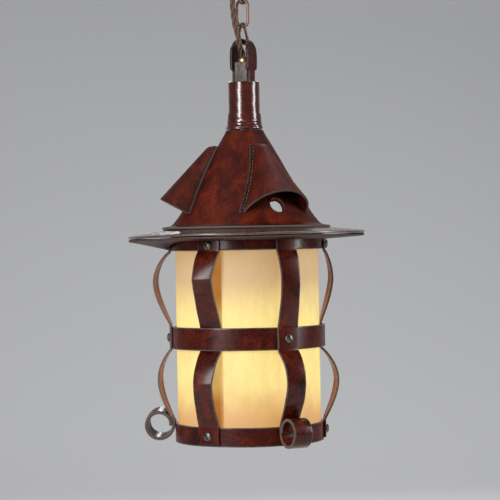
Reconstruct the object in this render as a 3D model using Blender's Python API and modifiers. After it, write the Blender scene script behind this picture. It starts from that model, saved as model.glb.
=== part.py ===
"""Leather lantern that hangs on a short chain.

A conical leather roof on a flat brim, three leather hoops, six bowed leather straps and a rolled
parchment shade round a lamp bulb. A flat leather loop carries it all on a chain of three links
under a ceiling fitting, with the flex beside the chain.

Lengths are metres and angles degrees. Heights are measured from the foot of the bottom ring, and
the world origin is the middle of the ceiling plate's upper face. An azimuth is measured round the
lantern's axis, with 0 at the front, where -Y points.
"""

import math
from functools import partial

import bmesh
import bpy
import numpy as np
from mathutils import Matrix, Vector

# Clearances
GAP = 0.0003
FACET_GAP = 0.0002
THREAD_GAP = 0.0003

# Hoops of the body
LEATHER = 0.0022
TOP_RING_RADIUS = 0.0806
TOP_RING_FOOT = 0.2015
TOP_RING_HEIGHT = 0.0175
MID_BAND_RADIUS = 0.0806
MID_BAND_FOOT = 0.0985
MID_BAND_HEIGHT = 0.0225
BOTTOM_RING_RADIUS = 0.0786
BOTTOM_RING_HEIGHT = 0.0200
IRON_HOOP = 0.0019
ROOF_HOOP_LIFT = 0.0005
LOWER_HOOP_FOOT = 0.0008
LOWER_HOOP_HEIGHT = 0.0172
LEDGE = 0.0018

# Straps: how far each one bulges over the upper and the lower panel, as it was bent by hand
STRAP_WIDTH = 0.0200
STRAP_TOP_RISE = 0.0135
STRAP_FOOT = 0.0025
BAND_MARGIN = 0.0015
UPPER_BULGE_FRONT = 0.0150
UPPER_BULGE_RIGHT = 0.0070
UPPER_BULGE_RIGHT_BACK = 0.0090
UPPER_BULGE_BACK = 0.0120
UPPER_BULGE_LEFT = 0.0155
LOWER_BULGE = 0.0140
LOWER_BULGE_RIGHT = 0.0160
LOWER_BULGE_RIGHT_BACK = 0.0150
LOWER_BULGE_LEFT = 0.0130
UPPER_PEAK = 0.40
LOWER_PEAK = 0.42
PANEL_STEPS = 9
CURL_OUTER = 0.0149
CURL_INNER = 0.0122
CURL_HEIGHT = 0.0172
CURL_TURN = 360
CURL_STEPS = 14

# Screws
HEAD_RADIUS = 0.0047
HEAD_HEIGHT = 0.0026
SLOT_WIDTH = 0.0011
SHANK_RADIUS = 0.0019
HOLE_RADIUS = 0.0023
HOLE_TOOL_REACH = 0.0150
HEAD_EDGE = 0.25
HEAD_CROWN_RADIUS = 0.60
HEAD_CROWN = 0.78
SLOT_FLOOR = 0.55
SCREW_SPIN = 25
NUT_RADIUS = 0.0034
NUT_HEIGHT = 0.0010
TOP_SCREW_RISE = 0.0051
MID_SCREW_RISE = 0.0115
LOW_SCREW_HEIGHT = 0.0110

# Shade: a sheet whose ends lap
PARCHMENT = 0.0008
LAP_START = -1
LAP_END = 9.5
LAP_TUCK = 0.0011
LAP_RUN_IN = 15

# Brim
BRIM_RADIUS = 0.1250
BRIM_LEATHER = 0.0024
BRIM_INNER = 0.0707
BRIM_INNER_TOP = 0.2260
BRIM_FALL = 0.132

# Cone
CONE_LEATHER = 0.0025
CONE_TOP_RADIUS = 0.0196
SHOULDER_RADIUS = 0.0264
SHOULDER_DROP = 0.0125
SLOPE_FOOT_RADIUS = 0.0700
SLOPE_FOOT_RISE = 0.0133
COLLAR_FLARE = 0.0004
COLLAR_HEIGHT = 0.0013
FLARE_BEND_RADIUS = 0.0757
FLARE_RADIUS = 0.0850
FLARE_EDGE_RADIUS = 0.0890

# Vents and their hoods: where the ridge starts and ends, out from the cone and up from its seat
VENT_AZIMUTHS = (60, 180, 300)
VENT_RADIUS = 0.0085
VENT_HEIGHT = 0.2475
VENT_TOOL_REACH = 0.0080
HOOD_LEATHER = 0.0022
HOOD_FOOT_LIFT = 0.0002
HOOD_HEAD_DROP = 0.0055
HOOD_FOOT_ANGLE = 31.6
HOOD_HEAD_ANGLE = 11.5
RIDGE_HEAD_OUT = 0.0075
RIDGE_HEAD_UP = 0.0020
RIDGE_FOOT_OUT = 0.0201
RIDGE_FOOT_UP = 0.0165
SHORT_HOOD_AZIMUTH = 60
SHORT_RIDGE_OUT = 0.0150
SHORT_RIDGE_UP = 0.0220
HOOD_FLANGE = 0.0050
HOOD_FULLNESS = 1.15

# Neck: the sleeve stands on the cone's top, at the foot of the neck
NECK_FOOT = 0.3280
SLEEVE_RADIUS = 0.0159
SLEEVE_LEATHER = 0.0025
SLEEVE_HEIGHT = 0.0510
SLEEVE_EASE = 0.0006
BEAD_RADIUS = 0.0186
BEAD_HEIGHT = 0.0092
PLUG_FLANGE_RADIUS = 0.0166
PLUG_FLANGE_HEIGHT = 0.0080
CHEEK_DROP = 0.0005
TENON_WIDTH = 0.0149
TENON_DEPTH = 0.0115
TENON_CORNER = 0.0016
TENON_ROOT = 0.0050
TENON_REACH = 0.0720
CORD_BORE = 0.0035

# Hanging loop: its heights are rises above the foot of the neck
LOOP_LEATHER = 0.0030
LOOP_TOP_RISE = 0.0966
LOOP_RADIUS = 0.00925
LOOP_BULGE = 0.0006
LOOP_FOOT_RISE = 0.0280
LOOP_LEG_HALF = 0.00575
LOOP_WIDE_HALF = 0.00975
LOOP_TOP_HALF = 0.0075
LOOP_SHOULDER_RISE = 0.0635
LOOP_TAPER_RISE = 0.0840
LOOP_TAPER_HEIGHT = 0.0060
LOOP_STEP = 0.0003
LOOP_SCREW_RISE = 0.0380
LOOP_SCREW_RADIUS = 0.0013
LOOP_HEAD_RADIUS = 0.0026
LOOP_HEAD_HEIGHT = 0.0012
LOOP_HEAD_CROWN = 0.0018
PILOT_RADIUS = 0.0016
PILOT_START = 0.0008
PILOT_EASE = 0.0003

# Bush where the flex goes in
BUSH_BORE = 0.0034
BUSH_RADIUS = 0.0042
BUSH_FLANGE_RADIUS = 0.0055
BUSH_FLANGE_HEIGHT = 0.0032
BUSH_DEPTH = 0.0078
BUSH_EASE = 0.0005

# Stem, nuts and spider
STEM_RADIUS = 0.0065
STEM_BORE = 0.0040
STEM_FOOT = 0.2000
STEM_REACH = 0.0240
NUT_FLATS = 0.0190
STEM_NUT_HEIGHT = 0.0065
SPIDER_FOOT = 0.2160
SPIDER_IRON = 0.0025
SPIDER_TAB = 0.0018
SPIDER_ARM_START = 0.0100
SPIDER_ARM_WIDTH = 0.0120
SPIDER_HUB_RADIUS = 0.0160
SPIDER_HUB_RAISE = 0.0005
SPIDER_TAB_MARGIN = 0.0017

# Lampholder and bulb
HOLDER_TOP = 0.2060
HOLDER_NECK_RADIUS = 0.0090
HOLDER_NECK_HEIGHT = 0.0065
HOLDER_SKIRT = 0.0080
HOLDER_SKIRT_INSIDE = 0.0075
HOLDER_EASE = 0.0020
HOLDER_CAP_RADIUS = 0.0195
HOLDER_CAP_FOOT = 0.1800
HOLDER_WALL = 0.0020
HOLDER_RADIUS = 0.0205
HOLDER_BORE = 0.0170
HOLDER_FOOT = 0.1500
HOLDER_FLOOR = 0.0037
CORE_HEIGHT = 0.0127
RECESS_DEPTH = 0.0100
BULB_CAP_RADIUS = 0.0131
BULB_CAP_FOOT = 0.1480
BULB_CAP_SHOULDER = 0.0035
BULB_TIP_RADIUS = 0.0045
BULB_TIP_FLARE = 0.0005
BULB_TIP_HEIGHT = 0.0014
BULB_RADIUS = 0.0275
BULB_CENTRE = 0.1020
BULB_NECK_RADIUS = 0.0125
BULB_NECK_FLARE = 0.0010
BULB_SHOULDER = 30
BULB_GLASS = 0.0008
LEAD_DROP = 0.0018

# Chain
WIRE = 0.0032
LINK_LENGTH = 0.0315
LINK_WIDTH = 0.0165
DELTA_REACH = 0.0213
DELTA_HALF_WIDTH = 0.0112
DELTA_CORNER = 0.0022
HOOK_WIRE = 0.0038
HOOK_RADIUS = 0.0089
HOOK_DROP = 0.0582
HOOK_START = 35
HOOK_SWEEP = 270

# Ceiling fitting
PLATE_RADIUS = 0.0380
PLATE_IRON = 0.0030
BOSS_RADIUS = 0.0065
BOSS_DEPTH = 0.0100
BOSS_COVER = 0.0010
ENTRY_HOLE = 0.0050
SCREW_SPREAD = 0.0280
CEILING_SHANK = 0.0019
CEILING_HEAD_RADIUS = 0.0036
CEILING_HEAD_EDGE = 0.0014
CEILING_HEAD_HEIGHT = 0.0026
CUP_RADIUS = 0.0450
CUP_DEPTH = 0.0250
CUP_BRASS = 0.0015
CUP_RIM = 0.0035
CUP_ROUND = 0.0060
CUP_ROUND_RISE = 0.0030
CUP_FLOOR_RADIUS = 0.0270
CUP_FLOOR_RISE = 0.0022
CUP_HOLE = 0.0055
CUP_TOOL_REACH = 0.0050
CANOPY_NUT_RADIUS = 0.0080
CANOPY_NUT_HEIGHT = 0.0060
CANOPY_NUT_EASE = 0.0008
CANOPY_BUSH_DEPTH = 0.0045
FLEX_ENTRY = (-0.0120, -0.0125)

# Flex: route points above the bush, chosen by eye
FLEX_DIAMETER = 0.0060
LEAD_DIAMETER = 0.0056
FLEX_SPACING = 0.0065
FLEX_TIP = 0.0008
FLEX_RUN_IN = 0.0030
FLEX_ROUTE = (
    (0.0000, -0.0002, 0.0025),
    (0.0004, -0.0022, 0.0053),
    (0.0010, -0.0054, 0.0079),
    (0.0019, -0.0088, 0.0104),
    (0.0028, -0.0122, 0.0131),
    (0.0035, -0.0148, 0.0175),
    (0.0028, -0.0150, 0.0217),
    (0.0014, -0.0142, 0.0257),
    (-0.0010, -0.0128, 0.0311),
    (-0.0030, -0.0118, 0.0375),
    (-0.0047, -0.0112, 0.0460),
    (-0.0056, -0.0109, 0.0545),
    (-0.0062, -0.0108, 0.0625),
    (-0.0076, -0.0110, 0.0745),
    (-0.0094, -0.0115, 0.0865),
    (-0.0110, -0.0121, 0.0965),
)

# Segments round turned pieces
STEPS_BODY = 36
STEPS_NECK = 22
STEPS_FITTING = 18
STEPS_SCREW = 10
STEPS_HOLE = 8
STEPS_BORE = 14

# Straps by azimuth: those screwed at both ends pass under the mid band, the curled ones over it
STRAPS_A = {
    0: (UPPER_BULGE_FRONT, LOWER_BULGE),
    120: (UPPER_BULGE_RIGHT_BACK, LOWER_BULGE_RIGHT_BACK),
    240: (UPPER_BULGE_BACK, LOWER_BULGE),
}
STRAPS_B = {
    60: (UPPER_BULGE_RIGHT, LOWER_BULGE_RIGHT),
    180: (UPPER_BULGE_BACK, LOWER_BULGE),
    300: (UPPER_BULGE_LEFT, LOWER_BULGE_LEFT),
}

# Sizes that follow from the ones above
TOP_SCREW_HEIGHT = TOP_RING_FOOT + TOP_SCREW_RISE
MID_SCREW_HEIGHT = MID_BAND_FOOT + MID_SCREW_RISE
STRAP_TOP = TOP_RING_FOOT + STRAP_TOP_RISE
OVER_TOP_RING = TOP_RING_RADIUS + GAP + LEATHER / 2
OVER_MID_BAND = MID_BAND_RADIUS + GAP + LEATHER / 2
UNDER_MID_BAND = MID_BAND_RADIUS - LEATHER - GAP - LEATHER / 2
OVER_BOTTOM_RING = BOTTOM_RING_RADIUS + GAP + LEATHER / 2
SHADE_RADIUS = UNDER_MID_BAND - LEATHER / 2 - GAP
SHADE_FOOT = LOWER_HOOP_FOOT + LEDGE + GAP
SPIDER_TAB_FOOT = TOP_SCREW_HEIGHT - HOLE_RADIUS - SPIDER_TAB_MARGIN
SHADE_TOP = SPIDER_TAB_FOOT - GAP
ROOF_HOOP_FOOT = TOP_RING_FOOT + ROOF_HOOP_LIFT
LOWER_HOOP_RADIUS = SHADE_RADIUS - PARCHMENT - LAP_TUCK - GAP
ROOF_HOOP_RADIUS = TOP_RING_RADIUS - LEATHER - GAP
TAB_RADIUS = math.sqrt((ROOF_HOOP_RADIUS - IRON_HOOP - GAP) ** 2 - SPIDER_ARM_WIDTH**2 / 4) - FACET_GAP
UNDER_SKIN_INNER_TOP = TOP_SCREW_HEIGHT + HEAD_RADIUS + GAP + BRIM_LEATHER
SLOPE_FOOT_HEIGHT = BRIM_INNER_TOP + SLOPE_FOOT_RISE
SHOULDER_HEIGHT = NECK_FOOT - SHOULDER_DROP
HOOD_FOOT = SLOPE_FOOT_HEIGHT + HOOD_FOOT_LIFT
HOOD_HEAD = SHOULDER_HEIGHT - HOOD_HEAD_DROP
HOOD_OFFSET = HOOD_LEATHER / 2 + GAP + 2 * FACET_GAP
SLEEVE_TOP = NECK_FOOT + SLEEVE_HEIGHT
PLUG_FOOT = NECK_FOOT - PLUG_FLANGE_HEIGHT
TENON_TOP = NECK_FOOT + TENON_REACH
STEM_TOP = NECK_FOOT + STEM_REACH
LOOP_TOP = NECK_FOOT + LOOP_TOP_RISE
LOOP_FOOT = NECK_FOOT + LOOP_FOOT_RISE
LOOP_SHOULDER = NECK_FOOT + LOOP_SHOULDER_RISE
LOOP_TAPER_FOOT = NECK_FOOT + LOOP_TAPER_RISE
LOOP_SCREW_HEIGHT = NECK_FOOT + LOOP_SCREW_RISE
PLUG_RADIUS = SLEEVE_RADIUS - SLEEVE_LEATHER - GAP
CHANNEL_FOOT = LOOP_FOOT - GAP
CHANNEL_HALF = LOOP_LEG_HALF + GAP
BUSH_TOP = TENON_TOP + GAP + BUSH_FLANGE_HEIGHT
CORE_TOP = HOLDER_CAP_FOOT - GAP - HOLDER_FLOOR - GAP
RECESS_RADIUS = BULB_CAP_RADIUS + GAP + FACET_GAP
LINK_PITCH = LINK_LENGTH - WIRE
HANG_HEIGHT = LOOP_TOP - LOOP_LEATHER - GAP - WIRE / 2
DELTA_APEX = HANG_HEIGHT + DELTA_REACH
LOWER_LINK_BAR = DELTA_APEX - WIRE - GAP
UPPER_LINK_BAR = LOWER_LINK_BAR + LINK_PITCH - WIRE - GAP
HOOK_BAR = UPPER_LINK_BAR + LINK_PITCH - (WIRE + HOOK_WIRE) / 2 - GAP
CEILING = HOOK_BAR + HOOK_DROP
CUP_FOOT = CEILING - CUP_DEPTH
ENTRY_FOOT = CUP_FOOT - GAP - BUSH_FLANGE_HEIGHT

# Looks: colour, roughness, metallic
DARK_LEATHER = ((0.090, 0.030, 0.018), 0.38, 0.0)
RED_LEATHER = ((0.190, 0.052, 0.026), 0.40, 0.0)
NECK_LEATHER = ((0.150, 0.045, 0.026), 0.34, 0.0)
TURNED_WOOD = ((0.150, 0.105, 0.080), 0.45, 0.0)
BLACK_IRON = ((0.060, 0.055, 0.052), 0.50, 1.0)
AGED_BRASS = ((0.420, 0.300, 0.120), 0.40, 1.0)
STEEL = ((0.350, 0.340, 0.330), 0.40, 1.0)
PARCHMENT_LOOK = ((0.900, 0.720, 0.420), 0.60, 0.0)
CERAMIC = ((0.820, 0.800, 0.740), 0.30, 0.0)
BULB_LOOK = ((1.000, 0.860, 0.600), 0.20, 0.0)
FLEX_LOOK = ((0.230, 0.150, 0.110), 0.80, 0.0)


# Scene and placing


def clear_scene():
    for obj in list(bpy.data.objects):
        bpy.data.objects.remove(obj, do_unlink=True)


def collection(name, hidden=False):
    group = bpy.data.collections.get(name) or bpy.data.collections.new(name)
    if name not in bpy.context.scene.collection.children:
        bpy.context.scene.collection.children.link(group)
    group.hide_render = hidden
    return group


def add_part(name, data, look):
    """Sub-part with a material of its own."""
    colour, roughness, metallic = look
    material = bpy.data.materials.new(name)
    material.use_nodes = True
    shader = material.node_tree.nodes["Principled BSDF"]
    shader.inputs["Base Color"].default_value = (*colour, 1.0)
    shader.inputs["Roughness"].default_value = roughness
    shader.inputs["Metallic"].default_value = metallic
    data.materials.clear()
    data.materials.append(material)
    obj = bpy.data.objects.new(name, data)
    collection("leather_lantern").objects.link(obj)
    return obj


def add_tool(name, mesh):
    """Cutter or piece to be joined: shown as wires and left out of the model."""
    obj = bpy.data.objects.new(name, mesh)
    obj.hide_render = True
    obj.display_type = "WIRE"
    collection("lantern_cutters", hidden=True).objects.link(obj)
    return obj


def empty(name, parent, height):
    """Empty on a joint's axis, at a height above its parent."""
    obj = bpy.data.objects.new(name, None)
    obj.empty_display_size = 0.01
    obj.parent = parent
    obj.location = (0.0, 0.0, height)
    collection("leather_lantern").objects.link(obj)
    return obj


def place(obj, parent, matrix=None):
    obj.parent = parent
    obj.matrix_basis = matrix or Matrix.Identity(4)
    return obj


def turn_to(azimuth):
    """Turns local +X to the azimuth."""
    return Matrix.Rotation(math.radians(azimuth - 90), 4, "Z")


def outward(azimuth, radius, height, spin=0.0):
    """Sets a piece turned about Z on the lantern's side, with its +Z pointing outward."""
    tilt = Matrix.Rotation(math.radians(90), 4, "Y") @ Matrix.Rotation(math.radians(spin), 4, "Z")
    return turn_to(azimuth) @ Matrix.Translation((radius, 0.0, height)) @ tilt


def upright(height, angle=0.0):
    """Stands a flat XY outline up in the XZ plane, then turns it about Z."""
    stand = Matrix.Rotation(math.radians(90), 4, "X")
    return Matrix.Translation((0.0, 0.0, height)) @ Matrix.Rotation(math.radians(angle), 4, "Z") @ stand


# Curves of outlines


def arc(centre, radius, start, sweep, steps):
    """Points of an arc; a negative sweep runs clockwise."""
    angles = np.radians(np.linspace(start, start + sweep, steps + 1))
    return [(centre[0] + radius * math.cos(a), centre[1] + radius * math.sin(a)) for a in angles]


def bend(start, control, end, steps):
    """Points of a quadratic Bezier arc without its first one."""
    start, control, end = np.array(start), np.array(control), np.array(end)
    shares = np.linspace(0.0, 1.0, steps + 1)[1:]
    return [tuple((1 - t) ** 2 * start + 2 * t * (1 - t) * control + t * t * end) for t in shares]


def tangent_leg(centre_a, radius_a, centre_b, radius_b):
    """Ends of the straight line that touches two arcs on their right-hand side."""
    way = Vector(centre_b) - Vector(centre_a)
    lean = math.atan2(-way.x, way.y) - math.asin((radius_b - radius_a) / way.length)
    normal = Vector((math.cos(lean), math.sin(lean)))
    return Vector(centre_a) + radius_a * normal, Vector(centre_b) + radius_b * normal, math.degrees(lean)


# Solids


def turned(name, outline, look, steps=STEPS_FITTING):
    """Turned piece; the outline (radius, height) runs down its outer side and up its bore."""
    edges = [(i, i + 1) for i in range(len(outline) - 1)]
    if outline[0][0] > 0.0:
        edges.append((len(outline) - 1, 0))
    return screwed(name, outline, edges, look, steps)


def turned_shell(name, outline, thickness, look, steps=STEPS_BODY):
    """Turned sheet; the outline is its outer side, from the top down."""
    edges = [(i, i + 1) for i in range(len(outline) - 1)]
    obj = screwed(name, outline, edges, look, steps)
    wall = obj.modifiers.new("wall", "SOLIDIFY")
    wall.thickness = thickness
    wall.offset = -1.0
    wall.use_even_offset = True
    return obj


def screwed(name, outline, edges, look, steps):
    mesh = bpy.data.meshes.new(name)
    mesh.from_pydata([(radius, 0.0, height) for radius, height in outline], edges, [])
    obj = add_part(name, mesh, look)
    turn = obj.modifiers.new("turn", "SCREW")
    turn.steps = steps
    turn.render_steps = steps
    turn.use_merge_vertices = True
    turn.merge_threshold = 0.00001
    return obj


def sheet(name, point, rows, columns, thickness, look):
    """Sheet: a grid whose vertex in row i and column j goes to point(i, j)."""
    grid = bmesh.new()
    bmesh.ops.create_grid(grid, x_segments=rows, y_segments=columns, size=0.5)
    for vertex in grid.verts:
        row = round((vertex.co.x + 0.5) * rows)
        column = round((vertex.co.y + 0.5) * columns)
        vertex.co = point(row, column)
    mesh = bpy.data.meshes.new(name)
    grid.to_mesh(mesh)
    grid.free()
    obj = add_part(name, mesh, look)
    wall = obj.modifiers.new("wall", "SOLIDIFY")
    wall.thickness = thickness
    wall.offset = 0.0
    return obj


def wire(name, points, diameter, look, closed=False):
    """Round wire along a route of straight steps, with filled ends."""
    curve = bpy.data.curves.new(name, "CURVE")
    curve.dimensions = "3D"
    curve.bevel_depth = diameter / 2
    curve.bevel_resolution = 2
    curve.use_fill_caps = True
    spline = curve.splines.new("POLY")
    spline.points.add(len(points) - 1)
    for target, point in zip(spline.points, points):
        target.co = (*point, 1.0)
    spline.use_cyclic_u = closed
    return add_part(name, curve, look)


def rod(start, end, radius, steps=STEPS_HOLE, name="rod"):
    """Mesh of a cylinder between two points."""
    start, end = Vector(start), Vector(end)
    along = end - start
    matrix = Matrix.Translation((start + end) / 2) @ along.to_track_quat("Z", "Y").to_matrix().to_4x4()
    solid = bmesh.new()
    bmesh.ops.create_cone(
        solid, cap_ends=True, segments=steps, radius1=radius, radius2=radius, depth=along.length, matrix=matrix
    )
    mesh = bpy.data.meshes.new(name)
    solid.to_mesh(mesh)
    solid.free()
    return mesh


def box(low, high, name="box"):
    """Mesh of a box between two corners."""
    low, high = Vector(low), Vector(high)
    size = Matrix.Diagonal((*(high - low), 1.0))
    solid = bmesh.new()
    bmesh.ops.create_cube(solid, size=1.0, matrix=Matrix.Translation((low + high) / 2) @ size)
    mesh = bpy.data.meshes.new(name)
    solid.to_mesh(mesh)
    solid.free()
    return mesh


def plate(outline, thickness, name="plate"):
    """Mesh of a flat outline in the XY plane, with half its thickness to each side."""
    curve = bpy.data.curves.new(name, "CURVE")
    curve.dimensions = "2D"
    curve.fill_mode = "BOTH"
    curve.extrude = thickness / 2
    spline = curve.splines.new("POLY")
    spline.points.add(len(outline) - 1)
    for target, point in zip(spline.points, outline):
        target.co = (*point, 0.0, 1.0)
    spline.use_cyclic_u = True
    source = bpy.data.objects.new(name, curve)
    bpy.context.scene.collection.objects.link(source)
    mesh = evaluated_mesh(source)
    bpy.data.objects.remove(source, do_unlink=True)
    bpy.data.curves.remove(curve)
    return mesh


def evaluated_mesh(obj):
    """Welded mesh of an object as its modifiers or its curve shape it."""
    bpy.context.view_layer.update()
    depsgraph = bpy.context.evaluated_depsgraph_get()
    mesh = bpy.data.meshes.new_from_object(obj.evaluated_get(depsgraph))
    solid = bmesh.new()
    solid.from_mesh(mesh)
    bmesh.ops.remove_doubles(solid, verts=solid.verts, dist=0.000001)
    solid.to_mesh(mesh)
    solid.free()
    return mesh


def combine(obj, tool, operation):
    modifier = obj.modifiers.new(operation.lower() + " " + tool.name, "BOOLEAN")
    modifier.operation = operation
    modifier.solver = "EXACT"
    modifier.object = tool
    return obj


def cut(obj, name, mesh, parent, matrix=None):
    return combine(obj, place(add_tool(name, mesh), parent, matrix), "DIFFERENCE")


def join(obj, name, mesh, parent, matrix=None):
    return combine(obj, place(add_tool(name, mesh), parent, matrix), "UNION")


def cut_radial_holes(obj, base, azimuths, height, radius=HOLE_RADIUS):
    """Round holes through the lantern's side."""
    for azimuth in azimuths:
        ends = [(OVER_TOP_RING + side * HOLE_TOOL_REACH, 0.0, height) for side in (-1, 1)]
        hole = rod(*ends, radius)
        cut(obj, f"hole_{obj.name}_{azimuth}", hole, base, turn_to(azimuth))
    return obj


def settle(obj):
    """Keeps the shaped mesh in place of the modifiers and smooths its round faces."""
    mesh = evaluated_mesh(obj)
    obj.modifiers.clear()
    obj.data = mesh
    mesh.shade_smooth()
    mesh.set_sharp_from_angle(angle=math.radians(35))
    return obj


# Roof


def brim_height(radius):
    """Height of the brim's upper face."""
    return BRIM_INNER_TOP - BRIM_FALL * (radius - BRIM_INNER)


def brim_underside(radius):
    """Height of the upper skin's lower face."""
    return brim_height(radius) - BRIM_LEATHER * math.hypot(1.0, BRIM_FALL)


def slope_radius(height):
    """Outer radius of the cone's straight side."""
    share = (SHOULDER_HEIGHT - height) / (SHOULDER_HEIGHT - SLOPE_FOOT_HEIGHT)
    return SHOULDER_RADIUS + share * (SLOPE_FOOT_RADIUS - SHOULDER_RADIUS)


def slope_normal():
    """Outward normal of the straight side, in radius and height."""
    run = SLOPE_FOOT_RADIUS - SHOULDER_RADIUS
    fall = SHOULDER_HEIGHT - SLOPE_FOOT_HEIGHT
    return Vector((fall, run)).normalized()


def cone_outline():
    """Collar under the bead, straight side, and a flare that ends flat on the brim."""
    lift = (CONE_LEATHER + GAP) * math.hypot(1.0, BRIM_FALL)
    shoulder = (SHOULDER_RADIUS, SHOULDER_HEIGHT)
    foot = (SLOPE_FOOT_RADIUS, SLOPE_FOOT_HEIGHT)
    pitch = (SHOULDER_HEIGHT - SLOPE_FOOT_HEIGHT) / (SLOPE_FOOT_RADIUS - SHOULDER_RADIUS)
    knee = (FLARE_BEND_RADIUS, SLOPE_FOOT_HEIGHT - (FLARE_BEND_RADIUS - SLOPE_FOOT_RADIUS) * pitch)
    flare = (FLARE_RADIUS, brim_height(FLARE_RADIUS) + lift)
    edge = (FLARE_EDGE_RADIUS, brim_height(FLARE_EDGE_RADIUS) + lift)
    outline = [(CONE_TOP_RADIUS, NECK_FOOT)]
    outline += bend(outline[0], (CONE_TOP_RADIUS + COLLAR_FLARE, NECK_FOOT - COLLAR_HEIGHT), shoulder, 2)
    outline += [foot] + bend(foot, knee, flare, 3) + [edge]
    return outline


def roof_cone(base):
    cone = place(turned_shell("roof_cone", cone_outline(), CONE_LEATHER, RED_LEATHER), base)
    middle = Vector((slope_radius(VENT_HEIGHT), VENT_HEIGHT))
    inner = middle - VENT_TOOL_REACH * slope_normal()
    outer = middle + VENT_TOOL_REACH * slope_normal()
    for number, azimuth in enumerate(VENT_AZIMUTHS, 1):
        hole = rod((inner.x, 0.0, inner.y), (outer.x, 0.0, outer.y), VENT_RADIUS, 16)
        cut(cone, f"vent_{number}", hole, base, turn_to(azimuth))


def hood_ridge(azimuth, share):
    """Ridge of a hood (radius, height) by its share from head to foot; one mouth is cut shorter."""
    out, up = (RIDGE_FOOT_OUT, RIDGE_FOOT_UP)
    if azimuth == SHORT_HOOD_AZIMUTH:
        out, up = (SHORT_RIDGE_OUT, SHORT_RIDGE_UP)
    head = Vector((slope_radius(HOOD_HEAD) + RIDGE_HEAD_OUT, HOOD_HEAD + RIDGE_HEAD_UP))
    foot = Vector((slope_radius(HOOD_FOOT) + out, HOOD_FOOT + up))
    return head.lerp(foot, share)


def vent_hoods(base):
    """Each hood is an arch that opens downwards, with a sewn flange along both of its feet."""
    rows = 5
    arch_steps = 10
    normal = slope_normal()

    def hood_point(azimuth, row, column):
        share = row / rows
        height = HOOD_HEAD + share * (HOOD_FOOT - HOOD_HEAD)
        half_angle = math.radians(HOOD_HEAD_ANGLE + share * (HOOD_FOOT_ANGLE - HOOD_HEAD_ANGLE))
        seat = slope_radius(height) + HOOD_OFFSET * normal.x
        seat_height = height + HOOD_OFFSET * normal.y
        if column in (0, arch_steps + 2):
            side = -1 if column == 0 else 1
            angle = half_angle + HOOD_FLANGE / seat
            return seat * math.cos(angle), side * seat * math.sin(angle), seat_height
        across = (column - 1) / arch_steps * 2 - 1
        rise = math.cos(across * math.pi / 2) ** HOOD_FULLNESS if abs(across) < 1 else 0.0
        ridge = hood_ridge(azimuth, share)
        x = seat * math.cos(half_angle)
        y = seat * math.sin(half_angle) * math.sin(across * math.pi / 2)
        return x + (ridge.x - x) * rise, y, seat_height + (ridge.y - seat_height) * rise

    for number, azimuth in enumerate(VENT_AZIMUTHS, 1):
        point = partial(hood_point, azimuth)
        hood = sheet(f"vent_hood_{number}", point, rows, arch_steps + 2, HOOD_LEATHER, RED_LEATHER)
        place(hood, base, turn_to(azimuth))


def brim(base):
    upper = [(BRIM_INNER, brim_height(BRIM_INNER)), (BRIM_RADIUS, brim_height(BRIM_RADIUS))]
    place(turned_shell("brim_top_skin", upper, BRIM_LEATHER, DARK_LEATHER), base)
    inner = OVER_TOP_RING + LEATHER / 2 + GAP + FACET_GAP
    rim_height = brim_underside(BRIM_RADIUS) - GAP - FACET_GAP
    lower = [(inner, UNDER_SKIN_INNER_TOP), (BRIM_RADIUS, rim_height)]
    place(turned_shell("brim_under_skin", lower, BRIM_LEATHER, DARK_LEATHER), base)


# Neck and loop


def neck(base):
    foot = NECK_FOOT + GAP
    inner = SLEEVE_RADIUS - SLEEVE_LEATHER
    sleeve = [(SLEEVE_RADIUS - SLEEVE_EASE, SLEEVE_TOP), (SLEEVE_RADIUS, SLEEVE_TOP - SLEEVE_EASE)]
    sleeve += [(SLEEVE_RADIUS, foot), (inner, foot), (inner, SLEEVE_TOP)]
    place(turned("neck_sleeve", sleeve, NECK_LEATHER, STEPS_NECK), base)
    bead_inner = SLEEVE_RADIUS + GAP
    round_height = BEAD_HEIGHT / 2
    bulge = BEAD_RADIUS - bead_inner
    bead = [(bead_inner, foot + BEAD_HEIGHT)]
    for angle in np.radians(np.linspace(70, -70, 5)):
        bead.append((bead_inner + bulge * math.cos(angle), foot + round_height * (1 + math.sin(angle))))
    bead.append((bead_inner, foot))
    place(turned("neck_bead", bead, NECK_LEATHER, STEPS_NECK), base)


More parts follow.
